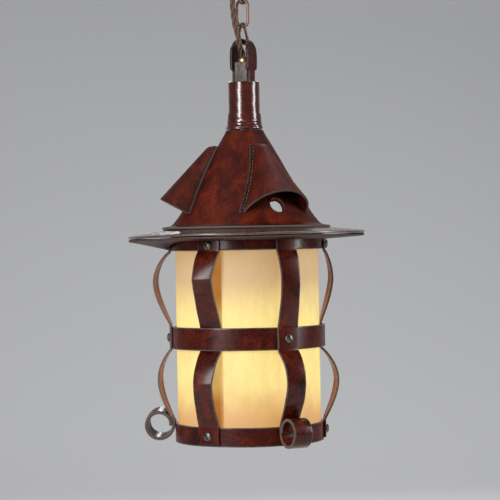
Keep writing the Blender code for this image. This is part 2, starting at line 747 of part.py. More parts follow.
def neck_plug(base):
    """Wooden core: a flange under the sleeve, cheeks inside it and a tenon between the loop's legs."""
    cheek_top = SLEEVE_TOP - CHEEK_DROP
    outline = [(0.0, cheek_top), (PLUG_RADIUS, cheek_top), (PLUG_RADIUS, NECK_FOOT)]
    outline += [(PLUG_FLANGE_RADIUS, NECK_FOOT), (PLUG_FLANGE_RADIUS, PLUG_FOOT), (0.0, PLUG_FOOT)]
    plug = place(turned("neck_plug", outline, TURNED_WOOD, STEPS_NECK), base)
    half = TENON_WIDTH / 2
    root = CHANNEL_FOOT - TENON_ROOT
    tenon = [(-half, root), (half, root)]
    tenon += arc((half - TENON_CORNER, TENON_TOP - TENON_CORNER), TENON_CORNER, 0, 90, 3)
    tenon += arc((TENON_CORNER - half, TENON_TOP - TENON_CORNER), TENON_CORNER, 90, 90, 3)
    for side in (-1, 1):
        near, far = sorted((side * half, side * (SLEEVE_RADIUS + GAP)))
        channel = box((near, -CHANNEL_HALF, CHANNEL_FOOT), (far, CHANNEL_HALF, SLEEVE_TOP + GAP))
        cut(plug, f"channel_{side}", channel, base)
    join(plug, "tenon", plate(tenon, TENON_DEPTH), base, upright(0.0))
    bores = {
        "stem_bore": (PLUG_FOOT - GAP, STEM_TOP + GAP, STEM_RADIUS + THREAD_GAP),
        "cord_bore": (STEM_TOP - GAP, TENON_TOP + GAP, CORD_BORE),
        "bush_bore": (TENON_TOP - BUSH_DEPTH - GAP, TENON_TOP + GAP, BUSH_RADIUS + THREAD_GAP),
    }
    for name, (foot, top, radius) in bores.items():
        cut(plug, name, rod((0, 0, foot), (0, 0, top), radius, STEPS_BORE), base)
    for side in (-1, 1):
        start = (side * (CORD_BORE + PILOT_START), 0.0, LOOP_SCREW_HEIGHT)
        end = (side * SLEEVE_RADIUS, 0.0, LOOP_SCREW_HEIGHT)
        cut(plug, f"pilot_{side}", rod(start, end, PILOT_RADIUS), base)


def loop_half():
    """Centreline of one leg from its foot to the loop's top, with half widths: (x, z, half width)."""
    arc_height = LOOP_TOP - LOOP_LEATHER / 2 - LOOP_RADIUS
    wide_foot = LOOP_SHOULDER + LOOP_STEP
    rows = [(LOOP_RADIUS, LOOP_FOOT, LOOP_LEG_HALF), (LOOP_RADIUS, LOOP_SHOULDER - LOOP_STEP, LOOP_LEG_HALF)]
    for share in (0.0, 0.25, 0.5, 0.75):
        height = wide_foot + share * (arc_height - wide_foot)
        bulge = LOOP_BULGE * math.sin(math.pi * share)
        rows.append((LOOP_RADIUS + bulge, height, LOOP_WIDE_HALF))
    for x, z in arc((0.0, arc_height), LOOP_RADIUS, 0, 90, 6):
        share = min(1.0, max(0.0, (z - LOOP_TAPER_FOOT) / LOOP_TAPER_HEIGHT))
        rows.append((x, z, LOOP_WIDE_HALF + share * (LOOP_TOP_HALF - LOOP_WIDE_HALF)))
    return rows


def hanging_loop(base):
    half = loop_half()
    rows = half + [(-x, z, width) for x, z, width in half[-2::-1]]

    def point(row, column):
        x, z, width = rows[row]
        return x, (2 * column - 1) * width, z

    loop = sheet("hanging_loop", point, len(rows) - 1, 1, LOOP_LEATHER, DARK_LEATHER)
    place(loop, base)
    head_seat = LOOP_RADIUS + LOOP_LEATHER / 2 + GAP
    reach = head_seat - CORD_BORE - PILOT_START - PILOT_EASE
    screw = [(0.0, LOOP_HEAD_HEIGHT), (LOOP_HEAD_CROWN, 0.8 * LOOP_HEAD_HEIGHT)]
    screw += [(LOOP_HEAD_RADIUS, 0.3 * LOOP_HEAD_HEIGHT), (LOOP_HEAD_RADIUS, 0.0), (LOOP_SCREW_RADIUS, 0.0)]
    screw += [(LOOP_SCREW_RADIUS, -reach), (0.0, -reach)]
    for number, side in enumerate((-1, 1), 1):
        start = (side * (head_seat - 2 * LOOP_LEATHER), 0.0, LOOP_SCREW_HEIGHT)
        end = (side * (head_seat + LOOP_LEATHER), 0.0, LOOP_SCREW_HEIGHT)
        cut(loop, f"leg_hole_{number}", rod(start, end, PILOT_RADIUS), base)
        obj = turned(f"loop_screw_{number}", screw, STEEL, STEPS_HOLE)
        place(obj, base, outward(90 * side, head_seat, LOOP_SCREW_HEIGHT))


def bush_outline(flange_foot, height, depth):
    """Flanged tube with its flange at the top; mirrored in height where depth is negative."""
    top = flange_foot + height
    edge = math.copysign(BUSH_EASE, height)
    return [
        (BUSH_BORE, top),
        (BUSH_FLANGE_RADIUS - BUSH_EASE, top),
        (BUSH_FLANGE_RADIUS, top - edge),
        (BUSH_FLANGE_RADIUS, flange_foot),
        (BUSH_RADIUS, flange_foot),
        (BUSH_RADIUS, flange_foot - depth),
        (BUSH_BORE, flange_foot - depth),
    ]


def cord_bush(base):
    outline = bush_outline(TENON_TOP + GAP, BUSH_FLANGE_HEIGHT, BUSH_DEPTH)
    place(turned("cord_bush", outline, AGED_BRASS), base)


# Carrying frame


def stem_nut(name, foot, base):
    top = foot + STEM_NUT_HEIGHT
    nut = add_part(name, rod((0, 0, foot), (0, 0, top), NUT_FLATS / math.sqrt(3), 6), STEEL)
    bore = rod((0, 0, foot - GAP), (0, 0, top + GAP), STEM_RADIUS + THREAD_GAP, STEPS_BORE)
    cut(place(nut, base), "bore_" + name, bore, base)


def carrying_frame(base):
    stem = [(STEM_RADIUS, STEM_TOP), (STEM_RADIUS, STEM_FOOT), (STEM_BORE, STEM_FOOT), (STEM_BORE, STEM_TOP)]
    place(turned("stem", stem, STEEL), base)
    stem_nut("plug_nut", PLUG_FOOT - GAP - STEM_NUT_HEIGHT, base)
    stem_nut("spider_nut_top", SPIDER_FOOT + SPIDER_IRON + SPIDER_HUB_RAISE + GAP, base)
    stem_nut("spider_nut_bottom", SPIDER_FOOT - SPIDER_HUB_RAISE - GAP - STEM_NUT_HEIGHT, base)
    spider(base)
    hoop_top = brim_underside(ROOF_HOOP_RADIUS) - GAP
    outline = ring_outline(ROOF_HOOP_RADIUS, IRON_HOOP, ROOF_HOOP_FOOT, hoop_top)
    hoop = place(turned("roof_hoop", outline, BLACK_IRON, STEPS_BODY), base)
    cut_radial_holes(hoop, base, STRAPS_A, TOP_SCREW_HEIGHT)
    inner = LOWER_HOOP_RADIUS - IRON_HOOP
    ledge = BOTTOM_RING_RADIUS - LEATHER - GAP
    ledge_top = LOWER_HOOP_FOOT + LEDGE
    hoop_top = LOWER_HOOP_FOOT + LOWER_HOOP_HEIGHT
    outline = [(LOWER_HOOP_RADIUS, hoop_top), (LOWER_HOOP_RADIUS, ledge_top), (ledge, ledge_top)]
    outline += [(ledge, LOWER_HOOP_FOOT), (inner, LOWER_HOOP_FOOT), (inner, hoop_top)]
    hoop = place(turned("lower_hoop", outline, BLACK_IRON, STEPS_BODY), base)
    cut_radial_holes(hoop, base, STRAPS_A, LOW_SCREW_HEIGHT)


def spider(base):
    """Raised hub and three flat arms that turn down into tabs inside the hoop."""
    top = SPIDER_FOOT + SPIDER_IRON
    hub_top = top + SPIDER_HUB_RAISE
    hub_foot = SPIDER_FOOT - SPIDER_HUB_RAISE
    hub = [(0.0, hub_top), (SPIDER_HUB_RADIUS, hub_top), (SPIDER_HUB_RADIUS, hub_foot), (0.0, hub_foot)]
    obj = place(turned("roof_spider", hub, BLACK_IRON), base)
    inner = TAB_RADIUS - SPIDER_TAB
    arm = [(SPIDER_ARM_START, SPIDER_FOOT), (inner, SPIDER_FOOT), (inner, SPIDER_TAB_FOOT)]
    arm += [(TAB_RADIUS, SPIDER_TAB_FOOT)] + arc((inner, top - SPIDER_TAB), SPIDER_TAB, 0, 90, 3)
    arm.append((SPIDER_ARM_START, top))
    for azimuth in STRAPS_A:
        join(obj, f"arm_{azimuth}", plate(arm, SPIDER_ARM_WIDTH), base, upright(0.0, azimuth - 90))
    bore = rod((0, 0, hub_foot - GAP), (0, 0, hub_top + GAP), STEM_RADIUS + THREAD_GAP, STEPS_BORE)
    cut(obj, "spider_bore", bore, base)
    cut_radial_holes(obj, base, STRAPS_A, TOP_SCREW_HEIGHT)


# Hoops, straps and screws


def ring_outline(radius, thickness, foot, top):
    """Section of a flat hoop."""
    return [(radius, top), (radius, foot), (radius - thickness, foot), (radius - thickness, top)]


def leather_rings(base):
    rings = {
        "top_ring": (TOP_RING_RADIUS, TOP_RING_FOOT, TOP_RING_HEIGHT, STRAPS_A, TOP_SCREW_HEIGHT),
        "mid_band": (MID_BAND_RADIUS, MID_BAND_FOOT, MID_BAND_HEIGHT, STRAPS_B, MID_SCREW_HEIGHT),
        "bottom_ring": (BOTTOM_RING_RADIUS, 0.0, BOTTOM_RING_HEIGHT, STRAPS_A, LOW_SCREW_HEIGHT),
    }
    for name, (radius, foot, height, azimuths, screw_height) in rings.items():
        outline = ring_outline(radius, LEATHER, foot, foot + height)
        ring = place(turned(name, outline, DARK_LEATHER, STEPS_BODY), base)
        cut_radial_holes(ring, base, azimuths, screw_height)


def panel(start, end, bulge, peak):
    """Inner points of a strap that bows out between two bands; peak is the widest point's share."""
    power = math.log(0.5) / math.log(peak)
    points = []
    for share in np.linspace(0.0, 1.0, PANEL_STEPS + 1)[1:-1]:
        radius = start[0] + share * (end[0] - start[0]) + bulge * math.sin(math.pi * share**power)
        points.append((radius, start[1] + share * (end[1] - start[1])))
    return points


def strap_rows(middle, bulges):
    """Centreline (radius, height) from the top ring, past the mid band, to the bottom ring."""
    band_top = MID_BAND_FOOT + MID_BAND_HEIGHT + BAND_MARGIN
    band_foot = MID_BAND_FOOT - BAND_MARGIN
    upper = ((OVER_TOP_RING, TOP_RING_FOOT - BAND_MARGIN), (middle, band_top))
    lower = ((middle, band_foot), (OVER_BOTTOM_RING, BOTTOM_RING_HEIGHT + BAND_MARGIN))
    rows = [(OVER_TOP_RING, STRAP_TOP), upper[0]]
    rows += panel(*upper, bulges[0], UPPER_PEAK) + [upper[1], lower[0]]
    rows += panel(*lower, bulges[1], LOWER_PEAK) + [lower[1]]
    return rows


def curl():
    """Spiral from the ring's side down, outward, up and over."""
    centre = (OVER_BOTTOM_RING + CURL_OUTER, CURL_HEIGHT)
    points = []
    for share in np.linspace(0.0, 1.0, CURL_STEPS + 1):
        radius = CURL_OUTER + share * (CURL_INNER - CURL_OUTER)
        angle = math.radians(180 + share * CURL_TURN)
        points.append((centre[0] + radius * math.cos(angle), centre[1] + radius * math.sin(angle)))
    return points


def strap(name, rows, azimuth, base):
    """Leather strap as wide as STRAP_WIDTH, bent across to the hoops' round."""

    def point(row, column):
        radius, height = rows[row]
        angle = (column - 1) * STRAP_WIDTH / 2 / radius
        return radius * math.cos(angle), radius * math.sin(angle), height

    return place(sheet(name, point, len(rows) - 1, 2, LEATHER, DARK_LEATHER), base, turn_to(azimuth))


def straps(base):
    for number, (azimuth, bulges) in enumerate(STRAPS_A.items(), 1):
        rows = strap_rows(UNDER_MID_BAND, bulges) + [(OVER_BOTTOM_RING, STRAP_FOOT)]
        obj = strap(f"strap_a_{number}", rows, azimuth, base)
        cut_radial_holes(obj, base, [azimuth], TOP_SCREW_HEIGHT)
        cut_radial_holes(obj, base, [azimuth], LOW_SCREW_HEIGHT)
    for number, (azimuth, bulges) in enumerate(STRAPS_B.items(), 1):
        rows = strap_rows(OVER_MID_BAND, bulges) + curl()
        obj = strap(f"strap_b_{number}", rows, azimuth, base)
        cut_radial_holes(obj, base, [azimuth], MID_SCREW_HEIGHT)


def binding_screws(base):
    """Slotted round heads outside, shanks through all layers and round nuts inside."""
    head_seat = LEATHER / 2 + GAP
    rows = {
        "screw_top": (OVER_TOP_RING, TAB_RADIUS - SPIDER_TAB, STRAPS_A, TOP_SCREW_HEIGHT),
        "screw_mid": (OVER_MID_BAND, MID_BAND_RADIUS - LEATHER, STRAPS_B, MID_SCREW_HEIGHT),
        "screw_low": (OVER_BOTTOM_RING, LOWER_HOOP_RADIUS - IRON_HOOP, STRAPS_A, LOW_SCREW_HEIGHT),
    }
    for row_name, (strap_radius, inner_face, azimuths, height) in rows.items():
        seat = strap_radius + head_seat
        reach = seat - inner_face + GAP + FACET_GAP
        outline = [(0.0, HEAD_HEIGHT), (HEAD_CROWN_RADIUS * HEAD_RADIUS, HEAD_CROWN * HEAD_HEIGHT)]
        outline += [(HEAD_RADIUS, HEAD_EDGE * HEAD_HEIGHT), (HEAD_RADIUS, 0.0)]
        outline += [(SHANK_RADIUS, 0.0), (SHANK_RADIUS, -reach), (NUT_RADIUS, -reach)]
        outline += [(NUT_RADIUS, -reach - NUT_HEIGHT), (0.0, -reach - NUT_HEIGHT)]
        for number, azimuth in enumerate(azimuths, 1):
            screw = turned(f"{row_name}_{number}", outline, STEEL, STEPS_SCREW)
            matrix = outward(azimuth, seat, height, spin=SCREW_SPIN * number)
            place(screw, base, matrix)
            slot = box(
                (-2 * HEAD_RADIUS, -SLOT_WIDTH / 2, SLOT_FLOOR * HEAD_HEIGHT),
                (2 * HEAD_RADIUS, SLOT_WIDTH / 2, 2 * HEAD_HEIGHT),
            )
            cut(screw, f"slot_{row_name}_{number}", slot, base, matrix)


# Shade, lampholder and bulb


def shade(base):
    """Sheet rolled into a tube whose end tucks in behind its start."""
    turns = 360 + LAP_END - LAP_START
    columns = 42

    def point(row, column):
        angle = LAP_START + turns * column / columns
        before_lap = (360 + LAP_START - angle) / LAP_RUN_IN
        tuck = min(1.0, max(0.0, 1.0 - before_lap))
        radius = SHADE_RADIUS - PARCHMENT / 2 - LAP_TUCK * tuck * tuck * (3 - 2 * tuck)
        spot = turn_to(angle) @ Vector((radius, 0.0, 0.0))
        return spot.x, spot.y, SHADE_TOP if row else SHADE_FOOT

    sheet_object = place(sheet("shade", point, 1, columns, PARCHMENT, PARCHMENT_LOOK), base)
    cut_radial_holes(sheet_object, base, STRAPS_A, LOW_SCREW_HEIGHT)


def lampholder(base):
    outer, wall, foot = HOLDER_CAP_RADIUS, HOLDER_WALL, HOLDER_CAP_FOOT
    bore = STEM_RADIUS + THREAD_GAP
    neck_foot = HOLDER_TOP - HOLDER_NECK_HEIGHT
    skirt_inside = (outer - wall, foot + HOLDER_SKIRT_INSIDE)
    dome = bend((HOLDER_NECK_RADIUS, neck_foot), (outer, neck_foot), (outer, foot + HOLDER_SKIRT), 3)
    inner_dome = bend(skirt_inside, (outer - wall, neck_foot - wall), (bore, neck_foot - wall), 3)
    cap = [(HOLDER_NECK_RADIUS, HOLDER_TOP), (HOLDER_NECK_RADIUS, neck_foot)] + dome
    cap += [(outer, foot), (outer - wall, foot), skirt_inside] + inner_dome + [(bore, HOLDER_TOP)]
    place(turned("holder_cap", cap, AGED_BRASS), base)

    top = foot - GAP
    body = [(STEM_BORE, top), (HOLDER_RADIUS - HOLDER_EASE, top), (HOLDER_RADIUS, top - HOLDER_EASE)]
    body += [(HOLDER_RADIUS, HOLDER_FOOT)]
    body += [(HOLDER_BORE, HOLDER_FOOT), (HOLDER_BORE, top - HOLDER_FLOOR), (STEM_BORE, top - HOLDER_FLOOR)]
    place(turned("holder_body", body, AGED_BRASS), base)

    radius = HOLDER_BORE - GAP - FACET_GAP
    core_foot = CORE_TOP - CORE_HEIGHT
    recess_top = core_foot + RECESS_DEPTH
    core = [(0.0, CORE_TOP), (radius, CORE_TOP), (radius, core_foot), (RECESS_RADIUS, core_foot)]
    core += [(RECESS_RADIUS, recess_top), (0.0, recess_top)]
    place(turned("holder_core", core, CERAMIC), base)

    tip = recess_top - GAP
    cap = [(0.0, tip), (BULB_TIP_RADIUS, tip), (BULB_TIP_RADIUS + BULB_TIP_FLARE, tip - BULB_TIP_HEIGHT)]
    cap += [(BULB_CAP_RADIUS, tip - BULB_CAP_SHOULDER)]
    cap += [(BULB_CAP_RADIUS, BULB_CAP_FOOT), (0.0, BULB_CAP_FOOT)]
    place(turned("bulb_cap", cap, STEEL), base)

    shoulder = math.radians(BULB_SHOULDER)
    joint = (BULB_RADIUS * math.cos(shoulder), BULB_CENTRE + BULB_RADIUS * math.sin(shoulder))
    neck_top = (BULB_NECK_RADIUS, BULB_CAP_FOOT - GAP)
    flared = BULB_NECK_RADIUS + BULB_NECK_FLARE
    control = (flared, joint[1] + (joint[0] - flared) / math.tan(shoulder))
    glass = [neck_top] + bend(neck_top, control, joint, 2)
    glass += arc((0.0, BULB_CENTRE), BULB_RADIUS, BULB_SHOULDER, -90 - BULB_SHOULDER, 6)[1:-1]
    glass.append((0.0, BULB_CENTRE - BULB_RADIUS))
    place(turned_shell("bulb_glass", glass, BULB_GLASS, BULB_LOOK, STEPS_FITTING), base)

    lead_top = BUSH_TOP - LEAD_DROP
    place(wire("lead", [(0, 0, CORE_TOP + GAP), (0, 0, lead_top)], LEAD_DIAMETER, FLEX_LOOK), base)


# Chain, hook and flex


def link_points():
    """Closed centreline of a link in its XY plane, with its lower bar's middle at the origin."""
    radius = (LINK_WIDTH - WIRE) / 2
    points = arc((0.0, LINK_PITCH - radius), radius, 0, 180, 8)
    return points + arc((0.0, radius), radius, 180, 180, 8)


def delta_points():
    """Closed centreline of the tapered link, with its lower bar's middle at the origin."""
    apex_radius = WIRE + GAP
    apex = (0.0, DELTA_REACH - apex_radius)
    corner = (DELTA_HALF_WIDTH - DELTA_CORNER, DELTA_CORNER)
    start, end, lean = tangent_leg(corner, DELTA_CORNER, apex, apex_radius)
    right = arc(corner, DELTA_CORNER, -90, 90 + lean, 5)
    top = arc(apex, apex_radius, lean, 180 - 2 * lean, 6)
    left = [(-x, y) for x, y in right[::-1]]
    return right + top + left


def chain(upper, lower, delta):
    seats = {
        "chain_link_upper": (upper, (WIRE + HOOK_WIRE) / 2 + GAP, 90),
        "chain_link_lower": (lower, WIRE + GAP, 0),
    }
    for name, (parent, seat, angle) in seats.items():
        link = wire(name, [(x, y, 0.0) for x, y in link_points()], WIRE, BLACK_IRON, closed=True)
        place(link, parent, upright(seat - LINK_PITCH, angle))
    points = [(x, y, 0.0) for x, y in delta_points()]
    delta_link = wire("delta_link", points, WIRE, BLACK_IRON, closed=True)
    place(delta_link, delta, upright(HANG_HEIGHT - LOWER_LINK_BAR, 90))


def ceiling_fitting(ceiling):
    """Plate with a blind boss, hook, cup, nut and bush, placed from the ceiling downwards."""
    boss_foot = -PLATE_IRON - BOSS_DEPTH
    outline = [(0.0, 0.0), (PLATE_RADIUS, 0.0), (PLATE_RADIUS, -PLATE_IRON), (BOSS_RADIUS, -PLATE_IRON)]
    outline += [(BOSS_RADIUS, boss_foot), (0.0, boss_foot)]
    top = place(turned("ceiling_plate", outline, BLACK_IRON, STEPS_NECK), ceiling)
    shank_top = -PLATE_IRON - BOSS_COVER
    bore = rod((0, 0, boss_foot - GAP), (0, 0, shank_top + GAP), HOOK_WIRE / 2 + THREAD_GAP, STEPS_HOLE)
    cut(top, "hook_bore", bore, ceiling)
    entry = rod((*FLEX_ENTRY, -PLATE_IRON - GAP), (*FLEX_ENTRY, GAP), ENTRY_HOLE, 16)
    cut(top, "entry_hole", entry, ceiling)
    seat = -PLATE_IRON - GAP
    crown = -PLATE_IRON - CEILING_HEAD_HEIGHT
    screw = [(0.0, 0.0), (CEILING_SHANK, 0.0), (CEILING_SHANK, seat), (CEILING_HEAD_RADIUS, seat)]
    screw += [(CEILING_HEAD_RADIUS, -PLATE_IRON - CEILING_HEAD_EDGE)]
    screw += [(0.55 * CEILING_HEAD_RADIUS, crown + 0.1 * CEILING_HEAD_HEIGHT), (0.0, crown)]
    for number, side in enumerate((-1, 1), 1):
        spot = Matrix.Translation((side * SCREW_SPREAD, 0.0, 0.0))
        hole = rod((0, 0, seat), (0, 0, GAP), CEILING_SHANK + THREAD_GAP)
        cut(top, f"ceiling_hole_{number}", hole, ceiling, spot)
        place(turned(f"ceiling_screw_{number}", screw, STEEL, STEPS_SCREW), ceiling, spot)

    rim = -GAP
    foot = -CUP_DEPTH
    outline = [(CUP_RADIUS, rim), (CUP_RADIUS, rim - CUP_RIM)]
    floor_edge = (CUP_FLOOR_RADIUS + CUP_ROUND, foot + CUP_FLOOR_RISE)
    outline += bend(outline[1], (CUP_RADIUS - CUP_ROUND, foot + CUP_ROUND_RISE), floor_edge, 3)
    outline += [(CUP_FLOOR_RADIUS, foot), (CUP_HOLE, foot)]
    cup = place(turned_shell("canopy_cup", outline, CUP_BRASS, AGED_BRASS, STEPS_NECK), ceiling)
    ends = [(*FLEX_ENTRY, foot + side * CUP_TOOL_REACH) for side in (-1, 1)]
    hole = rod(*ends, BUSH_RADIUS + THREAD_GAP, STEPS_BORE)
    cut(cup, "bush_hole", hole, ceiling)
    nut_top = foot - GAP
    nut_foot = nut_top - CANOPY_NUT_HEIGHT
    inner = HOOK_WIRE / 2 + THREAD_GAP
    nut = [(inner, nut_top), (CANOPY_NUT_RADIUS, nut_top), (CANOPY_NUT_RADIUS, nut_foot + CANOPY_NUT_EASE)]
    nut += [(CANOPY_NUT_RADIUS - CANOPY_NUT_EASE, nut_foot), (inner, nut_foot)]
    place(turned("canopy_nut", nut, AGED_BRASS), ceiling)
    bush = bush_outline(foot - GAP, -BUSH_FLANGE_HEIGHT, -CANOPY_BUSH_DEPTH)[::-1]
    place(turned("canopy_bush", bush, AGED_BRASS), ceiling, Matrix.Translation((*FLEX_ENTRY, 0.0)))

    centre = (0.0, HOOK_BAR - CEILING + HOOK_RADIUS)
    eye = arc(centre, HOOK_RADIUS, HOOK_START, -HOOK_SWEEP, 13)
    straight_foot = nut_foot - GAP
    lean = math.radians(HOOK_START)
    knee = (0.0, eye[0][1] + eye[0][0] * math.cos(lean) / math.sin(lean))
    route = [(0.0, shank_top), (0.0, straight_foot)] + bend((0.0, straight_foot), knee, eye[0], 3) + eye[1:]
    hook = wire("chain_hook", [(x, y, 0.0) for x, y in route], HOOK_WIRE, BLACK_IRON)
    place(hook, ceiling, upright(0.0))


def flex_curve():
    """Smooth curve through the route's points, as finely spaced points with their run lengths."""
    start = (0.0, 0.0, BUSH_TOP + GAP)
    middle = [(x, y, BUSH_TOP + rise) for x, y, rise in FLEX_ROUTE]
    ends = [(*FLEX_ENTRY, ENTRY_FOOT - drop) for drop in (FLEX_RUN_IN, GAP)]
    points = np.array([start, *middle, *ends])
    before, after = 2 * points[0] - points[1], 2 * points[-1] - points[-2]
    knots = np.vstack([before, points, after])
    fine = []
    for p0, p1, p2, p3 in zip(knots, knots[1:], knots[2:], knots[3:]):
        for t in np.linspace(0.0, 1.0, 24, endpoint=False):
            square, cube = t * t, t * t * t
            fine.append(
                0.5 * (2 * p1 + (p2 - p0) * t + (2 * p0 - 5 * p1 + 4 * p2 - p3) * square
                       + (3 * p1 - p0 - 3 * p2 + p3) * cube)
            )
    fine.append(points[-1])
    fine = np.array(fine)
    runs = np.concatenate([[0.0], np.cumsum(np.linalg.norm(np.diff(fine, axis=0), axis=1))])
    return fine, runs


def flex(parents):
    """Four stretches from the ceiling down, parted beside the middles of the links."""
    fine, runs = flex_curve()
    splits = [
        (UPPER_LINK_BAR + HOOK_BAR) / 2,
        (LOWER_LINK_BAR + UPPER_LINK_BAR) / 2,
        (HANG_HEIGHT + LOWER_LINK_BAR) / 2,
    ]
    marks = [runs[-1]] + [float(np.interp(height, fine[:, 2], runs)) for height in splits] + [0.0]
    base_heights = (CEILING, HOOK_BAR, UPPER_LINK_BAR, LOWER_LINK_BAR)
    for number, (parent, base_height) in enumerate(zip(parents, base_heights), 1):
        top = marks[number - 1] - (GAP / 2 if number > 1 else 0.0)
        foot = marks[number] + (GAP / 2 if number < len(parents) else 0.0)
        count = max(3, round((top - foot) / FLEX_SPACING))
        middle = np.linspace(top, foot, count + 1)[1:-1]
        spots = np.concatenate([[top, top - FLEX_TIP], middle, [foot + FLEX_TIP, foot]])
        route = np.column_stack([np.interp(spots, runs, fine[:, axis]) for axis in range(3)])
        route[:, 2] -= base_height
        place(wire(f"flex_{number}", [tuple(p) for p in route], FLEX_DIAMETER, FLEX_LOOK), parent)


def main():
    clear_scene()
    ceiling = empty("ceiling", None, 0.0)
    upper = empty("swing_upper_link", ceiling, HOOK_BAR - CEILING)
    lower = empty("swing_lower_link", upper, UPPER_LINK_BAR - HOOK_BAR)
    delta = empty("swing_delta", lower, LOWER_LINK_BAR - UPPER_LINK_BAR)
    lantern = empty("swing_lantern", delta, HANG_HEIGHT - LOWER_LINK_BAR)
    base = empty("lantern_base", lantern, -HANG_HEIGHT)
    roof_cone(base)
    vent_hoods(base)
    brim(base)
    neck(base)
    neck_plug(base)
    hanging_loop(base)
    cord_bush(base)
    carrying_frame(base)
    leather_rings(base)
    straps(base)
    binding_screws(base)
    shade(base)
    lampholder(base)
    chain(upper, lower, delta)
    ceiling_fitting(ceiling)
    flex((ceiling, upper, lower, delta))
    for obj in list(collection("leather_lantern").objects):
        if obj.type == "MESH":
            settle(obj)


main()
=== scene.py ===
"""Looks of the leather lantern: its fine surfaces, finishes, flex, lights and camera.

Lengths are metres and angles degrees. Heights are measured from the foot of the bottom ring. An
azimuth is measured round the lantern's axis, with 0 at the front, where -Y points, and a piece's
grid is an array of points[row, column, axis].
"""

import math

import bmesh
import bpy
import numpy as np
from bpy.props import FloatProperty, FloatVectorProperty, IntProperty, PointerProperty
from mathutils import Matrix, Vector


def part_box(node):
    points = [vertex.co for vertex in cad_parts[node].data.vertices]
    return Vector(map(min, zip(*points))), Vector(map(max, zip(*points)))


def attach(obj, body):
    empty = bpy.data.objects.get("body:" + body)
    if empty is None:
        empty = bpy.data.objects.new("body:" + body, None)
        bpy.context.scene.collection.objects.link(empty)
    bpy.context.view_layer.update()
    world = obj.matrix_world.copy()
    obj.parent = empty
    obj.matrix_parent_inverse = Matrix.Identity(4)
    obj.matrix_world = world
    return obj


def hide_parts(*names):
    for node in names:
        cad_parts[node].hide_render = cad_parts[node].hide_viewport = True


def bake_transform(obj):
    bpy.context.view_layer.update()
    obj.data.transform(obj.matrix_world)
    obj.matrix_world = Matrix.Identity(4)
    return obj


bl_info = {
    "name": "Leather Lantern",
    "version": (1, 0, 0),
    "blender": (4, 5, 0),
    "location": "3D View > Sidebar > Lantern",
    "description": "Dresses the frame of a leather lantern in its fine surfaces and finishes",
    "category": "Object",
}

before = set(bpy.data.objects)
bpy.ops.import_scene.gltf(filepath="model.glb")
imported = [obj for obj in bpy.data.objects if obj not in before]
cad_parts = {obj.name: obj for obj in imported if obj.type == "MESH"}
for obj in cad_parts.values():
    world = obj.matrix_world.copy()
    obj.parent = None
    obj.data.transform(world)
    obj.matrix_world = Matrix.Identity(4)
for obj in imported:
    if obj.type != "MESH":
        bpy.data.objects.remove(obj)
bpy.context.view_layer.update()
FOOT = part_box("bottom_ring")[0].z

# Clearances and leather; a point this far from a cut edge is unworn
GAP = 0.0003
LEATHER = 0.0022
ROUNDING = 0.0006
FINE_STEP = 0.0005
MERGE_REACH = 0.000001
UNWORN = 1.0

# Hoops: outer radius, foot and height
TOP_RING = (0.0806, 0.2015, 0.0175)
MID_BAND = (0.0806, 0.0985, 0.0235)
BOTTOM_RING = (0.0786, 0.0, 0.0200)

# Straps: where their centrelines run. By azimuth: the bulges and twists over the upper and lower
# panel, the share of straight flights in a bulge, the place of its peak, and the flare at the hoops
OVER_TOP = TOP_RING[0] + GAP + LEATHER / 2
OVER_MID = MID_BAND[0] + GAP + LEATHER / 2
UNDER_MID = MID_BAND[0] - LEATHER - GAP - LEATHER / 2
OVER_BOTTOM = BOTTOM_RING[0] + GAP + LEATHER / 2
BAND_MARGIN = 0.0015
BAND_SWELL = 0.0009
STRAP_TOP = 0.2150
STRAP_FOOT = 0.0025
STRAP_STEP = 0.0004
STRAPS_A = {0: (0.0150, 0.0140), 120: (0.0090, 0.0150), 240: (0.0120, 0.0140)}
STRAPS_B = {60: (0.0070, 0.0160), 180: (0.0120, 0.0140), 300: (0.0155, 0.0130)}
TWISTS = {0: (13.0, 8.0), 60: (-5.0, -7.0), 120: (9.0, 9.0), 180: (3.0, -3.0), 240: (-3.0, 4.0),
          300: (-9.0, -9.0)}
KNUCKLES = {0: 0.62, 60: 0.1, 120: 0.2, 180: 0.2, 240: 0.3, 300: 0.1}
UPPER_PEAKS = {0: 0.36, 60: 0.40, 120: 0.40, 180: 0.40, 240: 0.40, 300: 0.40}
LOWER_PEAK = 0.42
FLARES = {0: 0.20, 60: 0.15, 120: 0.10, 180: 0.08, 240: 0.10, 300: 0.08}
FRONT_LEAN = 0.024
LEAN_HEIGHT = 0.1300
CURL_OUTER = 0.0144
CURL_INNER = 0.0114
CURL_HEIGHTS = {60: 0.0146, 180: 0.0172, 300: 0.0198}
CURL_LEANS = {60: (0.0, 0.0), 180: (0.0, 0.0), 300: (-0.15, 0.10)}
CURL_SWELL = 0.0006
HOOP_BLEND = 0.0040

# Screws
HEAD_RADIUS = 0.0047
HEAD_HEIGHT = 0.0026
SLOT_WIDTH = 0.0015
SLOT_TURN = 25.0
SHANK_RADIUS = 0.0019
NUT_RADIUS = 0.0034
NUT_HEIGHT = 0.0010
TOP_SCREW_HEIGHT = 0.2066
MID_SCREW_HEIGHT = 0.1100
LOW_SCREW_HEIGHT = 0.0110

# Shade: the sheet runs from its lap's start to its end, in degrees, and tucks in before it meets itself
PARCHMENT = 0.0008
PARCHMENT_ROUNDING = 0.0003
SHADE_RADIUS = UNDER_MID - LEATHER / 2 - GAP
LAP_START = -1.0
LAP_END = 369.5
LAP_TUCK = 0.0011
TUCK_END = 359.0
TUCK_SPREAD = 15.0
DOUBLED = ((-1.2, 9.7), (358.8, 370.0))
DOUBLED_FADE = 0.5
SHADE_SWELL = 0.00012
# Painted glow on the shade: the height of its brightest band, its reach, and how far that wanders
BULB_GLOW_HEIGHT = 0.1000
BULB_GLOW_REACH = 0.0760
GLOW_WANDER = 0.0240

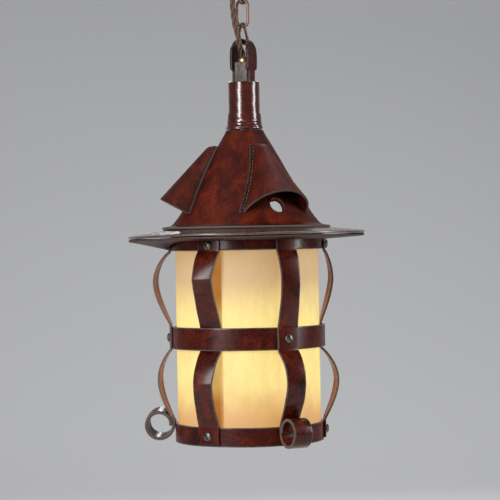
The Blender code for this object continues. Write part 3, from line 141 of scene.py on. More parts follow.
# Bulb
BULB_CENTRE = 0.1020
BULB_RADIUS = 0.0275
BULB_NECK = 0.0125
BULB_CAP_FOOT = 0.1480
FILAMENT_REACH = 0.0400

# Brim and cone
BRIM_RADIUS = 0.1250
BRIM_LEATHER = 0.0024
BRIM_INNER = 0.0707
BRIM_INNER_TOP = 0.2260
BRIM_FALL = 0.132
BRIM_ROUNDING = 0.0009
BRIM_PLAY = 0.0005
BRIM_TILT = 0.0014
BRIM_WAVES = ((3, 0.00045, 0.6), (5, 0.00030, 2.1), (9, 0.00012, 0.9))
LINING_TOP = 0.2140
SAG = 0.0090
SAG_AZIMUTH = 296.0
SAG_SPREAD = 24.0
CONE_LEATHER = 0.0025
SHOULDER = (0.0264, 0.3155)
SLOPE_FOOT = (0.0700, 0.2393)
CONE_KNEE = 0.0757
CONE_FLARE = 0.0800
CONE_EDGE = 0.0890
COLLAR = ((0.0208, 0.3248), (0.0196, 0.3280))
DENT_DEPTH = 0.00022

# Vents and hoods: a ridge is a (radius, height), by azimuth at the foot
VENT_AZIMUTHS = (60, 180, 300)
VENT_RADIUS = 0.0085
VENT_HEIGHT = 0.2475
VENT_REACH = 0.0080
HOOD_LEATHER = 0.0022
HOOD_FOOT = 0.2395
HOOD_HEAD = 0.3100
HOOD_LENGTH = 0.0850
HOOD_FOOT_ANGLE = 31.6
HOOD_HEAD_ANGLE = 11.5
HOOD_HEAD_RIDGE = (0.0370, 0.3120)
HOOD_FOOT_RIDGES = {60: (0.0849, 0.2615), 180: (0.0900, 0.2560), 300: (0.0900, 0.2560)}
HOOD_HEAD_ROUND = 0.07
HOOD_STITCHES = 19
STITCH_RADIUS = 0.00028
STITCH_RISE = 0.00025
STITCH_COLUMN = 1.42
HOOD_FLANGE = 0.0050
HOOD_FULLNESS = 1.15
HOOD_OFFSET = HOOD_LEATHER / 2 + 0.0007

# Neck and loop
SLEEVE_RADIUS = 0.0164
SLEEVE_LEATHER = 0.0025
SLEEVE_FOOT = 0.3283
SLEEVE_TOP = 0.3790
CREASE_HEIGHT = 0.3415
CREASE_SPREAD = 0.0065
CREASE_DEPTH = 0.00016
CUFF_FOOT = 0.3286
CUFF_TOP = 0.3455
CUFF_RADIUS = 0.0194
CUFF_FOLD = 0.00022
CUFF_WAVES = ((4, 0.00020, 0.3), (7, 0.00016, 1.9), (13, 0.00008, 0.2))
LOOP_LEATHER = 0.0030
LOOP_TOP = 0.4246
LOOP_RADIUS = 0.00925
LOOP_FOOT = 0.3560
LOOP_SHOULDER = 0.3915
LOOP_ROUNDING = 0.0008
LOOP_BULGE = 0.0006
LEG_HALF_WIDTH = 0.00575
SHOULDER_SPREAD = 0.0040
TOP_TAPER = 0.00225
TAPER_HEIGHT = 0.4120
TAPER_RUN = 0.0060
TENON_TOP = 0.4000

# Chain, hook and ceiling fitting: a bar is the height of the middle of the wire that bears a link
WIRE = 0.0032
LINK_LENGTH = 0.0315
LINK_WIDTH = 0.0165
HANG_HEIGHT = LOOP_TOP - LOOP_LEATHER - GAP - WIRE / 2
DELTA_REACH = 0.0213
DELTA_HALF_WIDTH = 0.0112
DELTA_CORNER = 0.0022
LINK_FLATTEN = 0.97
DELTA_APEX = HANG_HEIGHT + DELTA_REACH
LOWER_BAR = DELTA_APEX - WIRE - GAP
UPPER_BAR = LOWER_BAR + LINK_LENGTH - 2 * WIRE - GAP
HOOK_WIRE = 0.0038
HOOK_BAR = UPPER_BAR + LINK_LENGTH - WIRE - (WIRE + HOOK_WIRE) / 2 - GAP
HOOK_RADIUS = 0.0089
HOOK_LEAN = 35
CEILING = -FOOT
CUP_FOOT = CEILING - 0.0250
CUP_RADIUS = 0.0450
CUP_METAL = 0.0015
CANOPY_NUT_BORE = 0.0022
CANOPY_NUT_RADIUS = 0.0080
CANOPY_NUT_HEIGHT = 0.0060
KNURL_DEPTH = 0.00015
BUSH_BORE = 0.0034
BUSH_RADIUS = 0.0042
BUSH_FLANGE_RADIUS = 0.0055
BUSH_FLANGE_HEIGHT = 0.0032
CORD_BUSH_DEPTH = 0.0078
CANOPY_BUSH_DEPTH = 0.0045

# Flex: its route from the bush in the tenon to the bush in the ceiling cup
FLEX_DIAMETER = 0.0060
STRANDS = 3
STRAND_SHARE = 0.44
STRAND_TURN = 0.0300
FLEX_STEP = 0.0004
FLEX_ENTRY = (-0.0120, -0.0125)
BUSH_TOP = TENON_TOP + GAP + BUSH_FLANGE_HEIGHT
ENTRY_FOOT = CUP_FOOT - GAP - BUSH_FLANGE_HEIGHT
FLEX_ROUTE = (
    (0.0000, 0.0000, BUSH_TOP + GAP),
    (0.0000, -0.0002, 0.4060),
    (0.0004, -0.0022, 0.4088),
    (0.0010, -0.0054, 0.4114),
    (0.0019, -0.0088, 0.4139),
    (0.0028, -0.0122, 0.4166),
    (0.0035, -0.0148, 0.4210),
    (0.0028, -0.0150, 0.4252),
    (0.0014, -0.0142, 0.4292),
    (-0.0010, -0.0128, 0.4346),
    (-0.0030, -0.0118, 0.4410),
    (-0.0047, -0.0112, 0.4495),
    (-0.0056, -0.0109, 0.4580),
    (-0.0062, -0.0108, 0.4660),
    (-0.0076, -0.0110, 0.4780),
    (-0.0094, -0.0115, 0.4900),
    (-0.0110, -0.0121, 0.5000),
    (*FLEX_ENTRY, ENTRY_FOOT - 0.0030),
    (*FLEX_ENTRY, ENTRY_FOOT - GAP),
)
FLEX_SPLITS = ((UPPER_BAR + HOOK_BAR) / 2, (LOWER_BAR + UPPER_BAR) / 2, LOWER_BAR - 0.0030)

# Stretches of the flex: upper and lower body, their hinge, and how far over and under it they bend
FLEX_STRETCHES = (
    ("ceiling_fitting", "upper_link", HOOK_BAR, 0.0090, 0.0090),
    ("upper_link", "lower_link", UPPER_BAR, 0.0090, 0.0090),
    ("lower_link", "delta", LOWER_BAR, 0.0080, 0.0028),
    ("delta", "lantern", HANG_HEIGHT, 0.0080, 0.0080),
)

# Finishes: a prefix keeps them apart from the frame's own materials
FINISH_PREFIX = "fine_"
SKIN_OUTPUTS = {"Color": "Color", "Roughness": "Float", "Height": "Float"}
EDGE_WEAR = 0.0009

# Stage: the photograph is 500 pixels wide, a pixel's size is that at the lantern's axis, and the
# shifts of the lantern in the picture are in pixels
PIXEL = 0.001059
HALF_WIDTH = 250
SHIFT_RIGHT = 3.3
SHIFT_DOWN = 9.0
SKY_TONE = (0.80, 0.82, 0.85)
SKY_STRENGTH = 0.22

# Lamp in the shade
LAMP_TONE = (1.0, 0.66, 0.30)
LAMP_POWER = 1.6
LAMP_RADIUS = 0.028
LAMP_HEIGHT = 0.066

# Softboxes: azimuth beside the camera's, elevation, distance, width and height, and power
AIM_HEIGHT = 0.2
LIGHTS = {
    "key_light": (-36, 16, 1.9, (0.5, 1.1), 44.0),
    "side_light": (80, 12, 1.7, (0.35, 1.0), 24.0),
    "top_light": (170, 62, 2.2, (1.2, 1.2), 22.0),
    "rim_light": (182, 17, 1.7, (0.24, 0.22), 2.0),
}

# Any direction that no path starts along: a tube's first axis is worked out from it
ANY_SIDE = (0.31, 0.73, 0.11)


# Settings that a user would change


class LanternLeatherSettings(bpy.types.PropertyGroup):
    """Colours and size of the leather parts."""

    strap_width: FloatProperty(
        name="Strap width", description="Width of the straps", default=0.0211, unit="LENGTH"
    )
    dark: FloatVectorProperty(
        name="Dark", description="Darkest tone of the leather", subtype="COLOR",
        default=(0.011, 0.0022, 0.0018)
    )
    main: FloatVectorProperty(
        name="Main", description="Main tone of the straps and hoops", subtype="COLOR",
        default=(0.050, 0.0050, 0.0022)
    )
    warm: FloatVectorProperty(
        name="Warm", description="Tone of the rubbed patches", subtype="COLOR",
        default=(0.110, 0.0140, 0.0040)
    )
    # Partly painted highlight: the pale edge tone is rubbed leather and also stands in for the thin
    # highlights along the cut edges
    edge: FloatVectorProperty(
        name="Edge", description="Tone of the worn edges", subtype="COLOR",
        default=(0.140, 0.115, 0.100)
    )
    # Painted light: the orange glow of the lit shade on the straps' inner sides, which are dyed like their
    # outer sides
    glow_spill: FloatVectorProperty(
        name="Spill", description="Tone of the raw inner side", subtype="COLOR",
        default=(0.400, 0.135, 0.024)
    )
    rows: IntProperty(name="Rows", description="Rows of faces along a strap", default=220, min=40)


class LanternGlowSettings(bpy.types.PropertyGroup):
    """Parchment and lamp light."""

    parchment: FloatVectorProperty(
        name="Parchment", description="Tone of the shade by daylight", subtype="COLOR",
        default=(0.28, 0.20, 0.125)
    )
    # The shade's glows are painted light: emission colours that stand in for the bulb's light through the
    # parchment
    top_glow: FloatVectorProperty(
        name="Top glow", description="Glow of the shade above the bulb", subtype="COLOR",
        default=(0.42, 0.27, 0.115)
    )
    foot_glow: FloatVectorProperty(
        name="Foot glow", description="Glow of the shade below the bulb", subtype="COLOR",
        default=(0.50, 0.23, 0.045)
    )
    bulb_glow: FloatVectorProperty(
        name="Bulb glow", description="Glow of the shade beside the bulb", subtype="COLOR",
        default=(0.80, 0.64, 0.185)
    )
    lap_glow: FloatVectorProperty(
        name="Lap glow", description="Glow through the doubled sheet", subtype="COLOR",
        default=(0.38, 0.125, 0.010)
    )


class LanternStageSettings(bpy.types.PropertyGroup):
    """Camera and floor."""

    distance: FloatProperty(
        name="Distance", description="From the camera to the lantern's axis", default=2.13, unit="LENGTH"
    )
    eye_height: FloatProperty(
        name="Eye height", description="Height of the camera", default=0.2107, unit="LENGTH"
    )
    azimuth: FloatProperty(
        name="Azimuth", description="Azimuth of the camera", default=math.radians(30), subtype="ANGLE"
    )
    roll: FloatProperty(
        name="Roll", description="Turn of the picture to the left", default=math.radians(1), subtype="ANGLE"
    )
    floor_depth: FloatProperty(
        name="Floor", description="Floor below the lantern", default=0.30, unit="LENGTH"
    )


# Grids and meshes


def grid_mesh(points, loop_rows=False, loop_columns=False, edge=None, uv=None, tint=None):
    """Mesh of a grid; a looped side joins its last line to its first.

    Face (i, j) has the corners (i, j), (i+1, j), (i+1, j+1), (i, j+1). Its corner (i, j) has the UV
    (uv[0][i], uv[1][j]), counted past the end where a side is looped. edge is each point's distance
    from the nearest cut edge of the leather, and tint is 1 where its second tone shows.
    """
    rows, columns = points.shape[:2]
    row, column = np.meshgrid(np.arange(rows if loop_rows else rows - 1),
                              np.arange(columns if loop_columns else columns - 1), indexing="ij")
    corner_row = np.stack([row, row + 1, row + 1, row], axis=-1).reshape(-1, 4)
    corner_column = np.stack([column, column, column + 1, column + 1], axis=-1).reshape(-1, 4)
    faces = (corner_row % rows) * columns + corner_column % columns
    mesh = bpy.data.meshes.new("grid")
    mesh.from_pydata(points.reshape(-1, 3).tolist(), [], faces.tolist())
    for name, values in (("edge", edge), ("tint", tint)):
        if values is not None:
            layer = mesh.attributes.new(name, "FLOAT", "POINT")
            spread = np.broadcast_to(values, points.shape[:2])
            layer.data.foreach_set("value", spread.astype(np.float32).ravel())
    if uv is not None:
        layer = mesh.uv_layers.new(name="UVMap")
        corners = np.stack([uv[0][corner_row], uv[1][corner_column]], axis=-1)
        layer.data.foreach_set("uv", corners.astype(np.float32).ravel())
    return mesh


def joined(meshes):
    """One mesh of several, which are then removed."""
    whole = bmesh.new()
    for mesh in meshes:
        whole.from_mesh(mesh)
        bpy.data.meshes.remove(mesh)
    mesh = bpy.data.meshes.new("joined")
    whole.to_mesh(mesh)
    whole.free()
    return mesh


def cleaned(mesh):
    """The mesh itself, with its doubles merged and its faces turned outward."""
    solid = bmesh.new()
    solid.from_mesh(mesh)
    bmesh.ops.remove_doubles(solid, verts=solid.verts, dist=MERGE_REACH)
    bmesh.ops.dissolve_degenerate(solid, edges=solid.edges, dist=MERGE_REACH / 2)
    bmesh.ops.recalc_face_normals(solid, faces=solid.faces)
    solid.to_mesh(mesh)
    solid.free()
    return mesh


def link_object(name, data):
    """Object with the given data in the scene."""
    obj = bpy.data.objects.new(name, data)
    bpy.context.scene.collection.objects.link(obj)
    return obj


def add_piece(name, mesh, finish, nodes, body="lantern", crease=50.0):
    """Closed piece in its place, smooth up to the crease angle.

    A piece given a tuple (upper body, lower body, start, end) as its body only has its place
    baked into its mesh; it is hung on no body and nothing makes it bend.
    """
    cleaned(mesh).name = name
    mesh.shade_smooth()
    mesh.set_sharp_from_angle(angle=math.radians(crease))
    mesh.materials.append(finishes()[finish])
    obj = link_object(name, mesh)
    if isinstance(body, tuple):
        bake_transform(obj)
    else:
        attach(obj, body)
    if nodes:
        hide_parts(*nodes)
    return obj


def cut_piece(obj, tool):
    """Takes a closed mesh out of a finished piece."""
    cutter = link_object("cutter", cleaned(tool))
    modifier = obj.modifiers.new("cut", "BOOLEAN")
    modifier.object = cutter
    modifier.solver = "EXACT"
    bpy.context.view_layer.update()
    mesh = bpy.data.meshes.new_from_object(obj.evaluated_get(bpy.context.evaluated_depsgraph_get()))
    obj.modifiers.clear()
    obj.data = mesh
    bpy.data.objects.remove(cutter, do_unlink=True)


# Lines and sections


def running_length(line):
    """Length along a line up to each of its points."""
    return np.concatenate([[0.0], np.cumsum(np.linalg.norm(np.diff(line, axis=0), axis=1))])


def sampled(at, run, values):
    """Rows of values, which are known at the lengths in run, read off at other lengths."""
    return np.stack([np.interp(at, run, column) for column in values.T], axis=-1)


def unit(vectors):
    """Vectors scaled to length 1."""
    return vectors / np.linalg.norm(vectors, axis=-1, keepdims=True)


def spaced(line, step):
    """Line through the given points with points an equal step apart."""
    line = np.asarray(line, float)
    run = running_length(line)
    count = max(2, int(round(run[-1] / step)) + 1)
    return sampled(np.linspace(0.0, run[-1], count), run, line)


def eased(line, step, reach):
    """Evenly spaced line whose corners are rounded by a weighted moving mean over the reach.

    The weights rise and fall as a cosine, and the line is mirrored about its ends, which so stay.
    """
    fine = spaced(line, step)
    half = max(1, int(reach / step / 2))
    head = 2 * fine[0] - fine[half:0:-1]
    tail = 2 * fine[-1] - fine[-2:-half - 2:-1]
    padded = np.vstack([head, fine, tail])
    weights = np.hanning(2 * half + 3)[1:-1]
    weights /= weights.sum()
    return np.stack([np.convolve(column, weights, "valid") for column in padded.T], axis=-1)


def normals_2d(line):
    """Unit normals on the left of a flat line: its direction turned by 90 degrees."""
    way = unit(np.gradient(line, axis=0))
    return np.stack([-way[:, 1], way[:, 0]], axis=-1)


def arc_2d(centre, radius, start, sweep, count):
    """Points of an arc: centre + radius * (cos, sin) from the start angle over the sweep."""
    angle = np.radians(np.linspace(start, start + sweep, count))
    return np.stack([centre[0] + radius * np.cos(angle), centre[1] + radius * np.sin(angle)], axis=-1)


def smooth_step(share):
    """Eases a share of 0 to 1 in and out: 3 s ** 2 - 2 s ** 3."""
    return share * share * (3 - 2 * share)


def row_plan(line, step, rounding):
    """Rows along a flat line with quarter-round ends: lengths, places, normals, insets and scales.

    The rows of a round end lie at rounding * (1 - cos t) from the end and draw the outline in by
    rounding * (1 - sin t). The first and last row have scale 0, which closes the end.
    """
    run = running_length(line)
    turn = np.radians([0, 30, 60, 90])
    near = rounding * (1 - np.cos(turn))
    inset = rounding * (1 - np.sin(turn))
    middle = np.linspace(rounding, run[-1] - rounding, max(3, int(run[-1] / step)))[1:-1]
    at = np.concatenate([[0.0], near, middle, (run[-1] - near)[::-1], [run[-1]]])
    insets = np.concatenate([[rounding], inset, np.zeros(len(middle)), inset[::-1], [rounding]])
    scale = np.ones(len(at))
    scale[[0, -1]] = 0.0
    return at, sampled(at, run, line), sampled(at, run, normals_2d(line)), insets, scale


def bar_section(across_steps, corner_steps=3):
    """Outline of a bar with round corners, as cores and turns.

    A point is core * (half size - rounding) + turn * rounding. It goes round the four corners in
    order, with extra points over the two broad faces.
    """
    cores, turns = [], []
    for corner, core in enumerate(((1, 1), (-1, 1), (-1, -1), (1, -1))):
        angles = np.radians(np.linspace(90 * corner, 90 * corner + 90, corner_steps + 1))
        cores += [core] * len(angles)
        turns += list(np.stack([np.cos(angles), np.sin(angles)], axis=-1))
        if corner in (0, 2):
            side = core[1]
            for share in np.linspace(core[0], -core[0], across_steps + 1)[1:-1]:
                cores.append((share, side))
                turns.append(np.array((0.0, side)))
    return np.array(cores, float), np.array(turns, float)


def bar_offsets(section, half_width, half_thickness, rounding, inset, scale):
    """Offsets across and outward of each row's outline, and the distances from its long edges."""
    core, turn = section
    half_width = np.broadcast_to(half_width, inset.shape)[:, None]
    half_thickness = np.broadcast_to(half_thickness, inset.shape)[:, None]
    reach = (rounding - inset)[:, None]
    across = (core[:, 0] * (half_width - rounding) + turn[:, 0] * reach) * scale[:, None]
    outward = (core[:, 1] * (half_thickness - rounding) + turn[:, 1] * reach) * scale[:, None]
    edge = np.maximum(half_width - np.abs(across) - rounding, 0.0)
    return across, outward, edge


def turned(section, steps, warp=None):
    """Closed outline of (radius, height) turned round the axis: rows are azimuths.

    warp(radius, height, azimuth) gives the changed radius and height.
    """
    azimuth = np.radians(np.arange(steps) * 360.0 / steps)[:, None]
    radius, height = section[None, :, 0] + 0.0 * azimuth, section[None, :, 1] + 0.0 * azimuth
    if warp is not None:
        radius, height = warp(radius, height, azimuth)
    return np.stack([radius * np.sin(azimuth), -radius * np.cos(azimuth), height + FOOT], axis=-1)


def sheet_outline(line, thickness, step, rounding=ROUNDING):
    """Closed outline of a sheet along a flat line, and each point's distance from the sheet's ends."""
    at, places, normal, inset, _ = row_plan(line, step, rounding)
    reach = (thickness / 2 - inset)[:, None]
    outline = np.vstack([places + normal * reach, (places - normal * reach)[::-1]])
    edge = np.minimum(at, at[-1] - at)
    return outline, np.concatenate([edge, edge[::-1]])


def swept_tube(path, radius, sides, closed=False, flatten=1.0):
    """Round tube along a path of 3-D points.

    The circle's axes are carried along the path without twist: each is the last one less its part
    along the new direction. An open tube ends in half-round caps.
    """
    path = np.asarray(path, float)
    way = np.roll(path, -1, axis=0) - np.roll(path, 1, axis=0) if closed else np.gradient(path, axis=0)
    way = unit(way)
    first = np.zeros_like(path)
    axis = np.array(ANY_SIDE)
    for index, direction in enumerate(way):
        axis = axis - direction * axis.dot(direction)
        axis /= np.linalg.norm(axis)
        first[index] = axis
    if closed:
        turn = np.arctan2(np.cross(first[-1], first[0]).dot(way[0]), first[-1].dot(first[0]))
        angle = np.linspace(0.0, turn, len(path))[:, None]
        first = np.cos(angle) * first + np.sin(angle) * np.cross(way, first)
    second = np.cross(way, first)
    reach = np.full(len(path), radius)
    if not closed:
        cap = np.radians([90, 70, 45, 20])
        path = np.vstack([path[0] - way[0] * radius * np.sin(cap)[:, None], path,
                          path[-1] + way[-1] * radius * np.sin(cap)[::-1, None]])
        reach = np.concatenate([radius * np.cos(cap), reach, radius * np.cos(cap)[::-1]])
        ends = ((len(cap), len(cap)), (0, 0))
        first, second = np.pad(first, ends, mode="edge"), np.pad(second, ends, mode="edge")
    turn = (np.arange(sides) * 2 * np.pi / sides)[None, :, None]
    ring = first[:, None] * np.cos(turn) + flatten * second[:, None] * np.sin(turn)
    return path[:, None] + ring * reach[:, None, None]


def ripple(angle, waves):
    """Sum of height * sin(count * angle + phase) over waves of (count, height, phase)."""
    return sum(height * np.sin(count * angle + phase) for count, height, phase in waves)


# Nodes of the finishes


def plug(tree, socket, value):
    """Gives an input another node's socket, a number, a vector, or a colour without its alpha."""
    if isinstance(value, bpy.types.NodeSocket):
        tree.links.new(value, socket)
    elif socket.type == "RGBA":
        socket.default_value = (*value, 1.0)
    else:
        socket.default_value = value


def feed(tree, node, inputs):
    """Plugs every value into the input of its name."""
    for key, value in inputs.items():
        plug(tree, node.inputs[key], value)


def add_node(tree, kind, inputs=None, **settings):
    """Node with its settings and inputs."""
    made = tree.nodes.new(kind)
    for name, value in settings.items():
        setattr(made, name, value)
    feed(tree, made, inputs or {})
    return made


def noise(tree, vector, scale, detail=3.0, roughness=0.55, distortion=0.0):
    """Cloudy value round 0.5."""
    inputs = {"Vector": vector, "Scale": scale, "Detail": detail, "Roughness": roughness,
              "Distortion": distortion}
    return add_node(tree, "ShaderNodeTexNoise", inputs).outputs["Fac"]


def ramp(tree, value, low, high, start=0.0, end=1.0):
    """Value mapped from low..high to start..end, smooth at both ends."""
    inputs = {"Value": value, "From Min": low, "From Max": high, "To Min": start, "To Max": end}
    return add_node(tree, "ShaderNodeMapRange", inputs, interpolation_type="SMOOTHSTEP").outputs["Result"]


def math_node(tree, operation, first, second=0.0, clamp=False):
    """Result of one operation on two values, kept in 0 to 1 if clamp is set."""
    made = add_node(tree, "ShaderNodeMath", {0: first, 1: second}, operation=operation, use_clamp=clamp)
    return made.outputs[0]


def times(tree, first, second, clamp=False):
    """Product of two values."""
    return math_node(tree, "MULTIPLY", first, second, clamp)


def mixed(tree, share, first, second, blend="MIX"):
    """Colour between two colours."""
    made = add_node(tree, "ShaderNodeMix", data_type="RGBA", blend_type=blend)
    shown = [socket for socket in made.inputs if socket.enabled]
    for socket, value in zip(shown, (share, first, second)):
        plug(tree, socket, value)
    return next(socket for socket in made.outputs if socket.enabled)


def dimmed(tree, tone, level):
    """Colour times a level."""
    grey = add_node(tree, "ShaderNodeCombineColor", {0: level, 1: level, 2: level}).outputs[0]
    return mixed(tree, 1.0, tone, grey, "MULTIPLY")


def object_place(tree):
    """Where a point lies in the lantern's own frame."""
    return add_node(tree, "ShaderNodeTexCoord").outputs["Object"]


def attribute(tree, name):
    """Value that the mesh carries at each point."""
    return add_node(tree, "ShaderNodeAttribute", attribute_name=name).outputs["Fac"]


def stretched(tree, vector, scale):
    """Vector times a scale for each axis; less than 1 draws a texture out."""
    return add_node(tree, "ShaderNodeMapping", {"Vector": vector, "Scale": scale}).outputs["Vector"]


def relief(tree, shader, height, depth):
    """Bumps of a height value that is depth metres high at 1."""
    bump = add_node(tree, "ShaderNodeBump", {"Height": height, "Distance": depth})
    tree.links.new(bump.outputs["Normal"], shader.inputs["Normal"])


def new_group(name, inputs, outputs):
    """Node group whose sockets are given as {name: kind}: (tree, what it is given, its result node)."""
    tree = bpy.data.node_groups.new(name, "ShaderNodeTree")
    for way, sockets in (("INPUT", inputs), ("OUTPUT", outputs)):
        for socket_name, kind in sockets.items():
            tree.interface.new_socket(socket_name, in_out=way, socket_type="NodeSocket" + kind)
    return tree, tree.nodes.new("NodeGroupInput").outputs, tree.nodes.new("NodeGroupOutput")


def use_group(tree, name, inputs):
    """Outputs of a node group."""
    return add_node(tree, "ShaderNodeGroup", inputs, node_tree=bpy.data.node_groups[name]).outputs


def leather_group():
    """Leather skin: broad mottling, rubbed warm patches, pores and fine creases."""
    inputs = {"Vector": "Vector", "Streaks": "Vector", "Dark": "Color", "Main": "Color", "Warm": "Color",
              "Patches": "Float", "Sheen low": "Float", "Sheen high": "Float"}
    tree, given, result = new_group("leather_skin", inputs, SKIN_OUTPUTS)
    vector, streaks = given["Vector"], given["Streaks"]
    broad = noise(tree, streaks, 30.0, 4.0, 0.58)
    patch = noise(tree, streaks, 52.0, 5.0, 0.60, 0.4)
    fine = noise(tree, vector, 420.0, 3.0, 0.6)
    crease = noise(tree, vector, 210.0, 3.0, 0.5, 1.6)
    tone = mixed(tree, ramp(tree, broad, 0.26, 0.56), given["Dark"], given["Main"])
    level = math_node(tree, "SUBTRACT", 1.0, given["Patches"])
    rise = math_node(tree, "SUBTRACT", patch, times(tree, level, 0.62))
    tone = mixed(tree, ramp(tree, rise, 0.12, 0.42), tone, given["Warm"])
    tone = dimmed(tree, tone, ramp(tree, fine, 0.35, 0.68, 0.72, 1.25))
    pores = add_node(tree, "ShaderNodeTexVoronoi", {"Vector": vector, "Scale": 1250.0},
                     feature="DISTANCE_TO_EDGE")
    height = times(tree, ramp(tree, pores.outputs["Distance"], 0.0, 0.22), 0.35)
    for layer, depth in ((crease, 1.2), (fine, 0.9), (patch, 1.2)):
        height = math_node(tree, "ADD", height, times(tree, layer, depth))
    spread = {"Value": fine, "From Min": 0.3, "From Max": 0.7, "To Min": given["Sheen low"],
              "To Max": given["Sheen high"]}
    rough = add_node(tree, "ShaderNodeMapRange", spread).outputs["Result"]
    feed(tree, result, {"Color": tone, "Roughness": rough, "Height": height})


def wear_group():
    """Mask of a worn edge: 1 at the edge, fading over an uneven width."""
    inputs = {"Vector": "Vector", "Edge": "Float", "Width": "Float"}
    tree, given, result = new_group("worn_edge", inputs, {"Mask": "Float"})
    uneven = noise(tree, given["Vector"], 260.0, 4.0, 0.65)
    width = times(tree, given["Width"], ramp(tree, uneven, 0.35, 0.65, 0.25, 1.7))
    share = math_node(tree, "DIVIDE", given["Edge"], width)
    feed(tree, result, {"Mask": math_node(tree, "SUBTRACT", 1.0, share, clamp=True)})


def tarnish_group():
    """Metal skin: dull and clean patches, with fine scratches in the relief."""
    inputs = {"Vector": "Vector", "Clean": "Color", "Dull": "Color", "Wear": "Float"}
    tree, given, result = new_group("tarnished_metal", inputs, SKIN_OUTPUTS)
    patch = noise(tree, given["Vector"], 240.0, 5.0, 0.62)
    grain = noise(tree, given["Vector"], 900.0, 3.0, 0.6)
    level = math_node(tree, "SUBTRACT", 0.92, times(tree, given["Wear"], 0.62))
    over = math_node(tree, "SUBTRACT", patch, math_node(tree, "SUBTRACT", level, 0.38))
    mask = ramp(tree, over, -0.04, 0.12)
    feed(tree, result, {"Color": mixed(tree, mask, given["Dull"], given["Clean"]),
                        "Roughness": ramp(tree, mask, 0.0, 1.0, 0.66, 0.42),
                        "Height": math_node(tree, "ADD", grain, times(tree, patch, 1.5))})


# Finishes


def new_material(name):
    """Nodes and shader of a new material."""
    material = bpy.data.materials.new(FINISH_PREFIX + name)
    material.use_nodes = True
    return material.node_tree, material.node_tree.nodes["Principled BSDF"]


def leather(name, main, patches, sheen, coat, shine, streak=1.0, edge_tone=None, tint=(0.0, 0.0, 0.0),
            grain=0.00012):
    """Waxed leather with rubbed cut edges, and a second tone where the "tint" attribute is 1.

    Within the wear's width of a cut edge the tone goes over to the edge's, and within four times
    that it is darker. The edge's default pale tone is partly rubbed leather and partly a painted
    highlight along the cut edges, and on the straps the second tone is painted light: the shade's
    orange glow on their inner sides.
    """
    settings = bpy.context.scene.lantern_leather
    tree, shader = new_material(name)
    vector = object_place(tree)
    skin = use_group(tree, "leather_skin", {
        "Vector": vector, "Streaks": stretched(tree, vector, (1.0, 1.0, streak)), "Dark": settings.dark,
        "Main": main, "Warm": settings.warm, "Patches": patches,
        "Sheen low": sheen[0], "Sheen high": sheen[1]})
    distance = attribute(tree, "edge")
    rim, near = (use_group(tree, "worn_edge", {"Vector": vector, "Edge": distance, "Width": width})["Mask"]
                 for width in (EDGE_WEAR, 4 * EDGE_WEAR))
    tone = mixed(tree, times(tree, near, 0.60), skin["Color"], settings.dark)
    broad = ramp(tree, noise(tree, vector, 26.0), 0.3, 0.6, 0.45, 0.9)
    # Second tone where "tint" is 1; on the straps this is painted light, the shade's glow on their inner
    # sides
    tone = mixed(tree, times(tree, attribute(tree, "tint"), broad), tone, tint)
    # Edge tone: rubbed leather, and with the pale default also a painted highlight along the cut edges
    tone = mixed(tree, times(tree, rim, 0.60), tone, edge_tone or settings.edge)
    feed(tree, shader, {"Base Color": tone, "Roughness": skin["Roughness"], "Coat Weight": coat,
                        "Coat Roughness": 0.20, "Specular IOR Level": shine})
    relief(tree, shader, skin["Height"], grain)


def metal(name, clean, dull, wear):
    """Metal with tarnish: the share of clean patches grows with wear."""
    tree, shader = new_material(name)
    skin = use_group(tree, "tarnished_metal", {"Vector": object_place(tree), "Clean": clean, "Dull": dull,
                                               "Wear": wear})
    feed(tree, shader, {"Base Color": skin["Color"], "Roughness": skin["Roughness"], "Metallic": 1.0})
    relief(tree, shader, skin["Height"], 0.00006)


def wood():
    """Stained wood: fine grain lines that run up the neck."""
    tree, shader = new_material("stained_wood")
    vector = stretched(tree, object_place(tree), (1.0, 1.0, 0.22))
    grain = noise(tree, vector, 420.0, 5.0, 0.7, 0.8)
    tone = mixed(tree, ramp(tree, grain, 0.35, 0.68), (0.018, 0.010, 0.008), (0.110, 0.080, 0.066))
    feed(tree, shader, {"Base Color": tone, "Roughness": ramp(tree, grain, 0.3, 0.7, 0.30, 0.48),
                        "Coat Weight": 0.25, "Coat Roughness": 0.2})
    relief(tree, shader, grain, 0.00008)


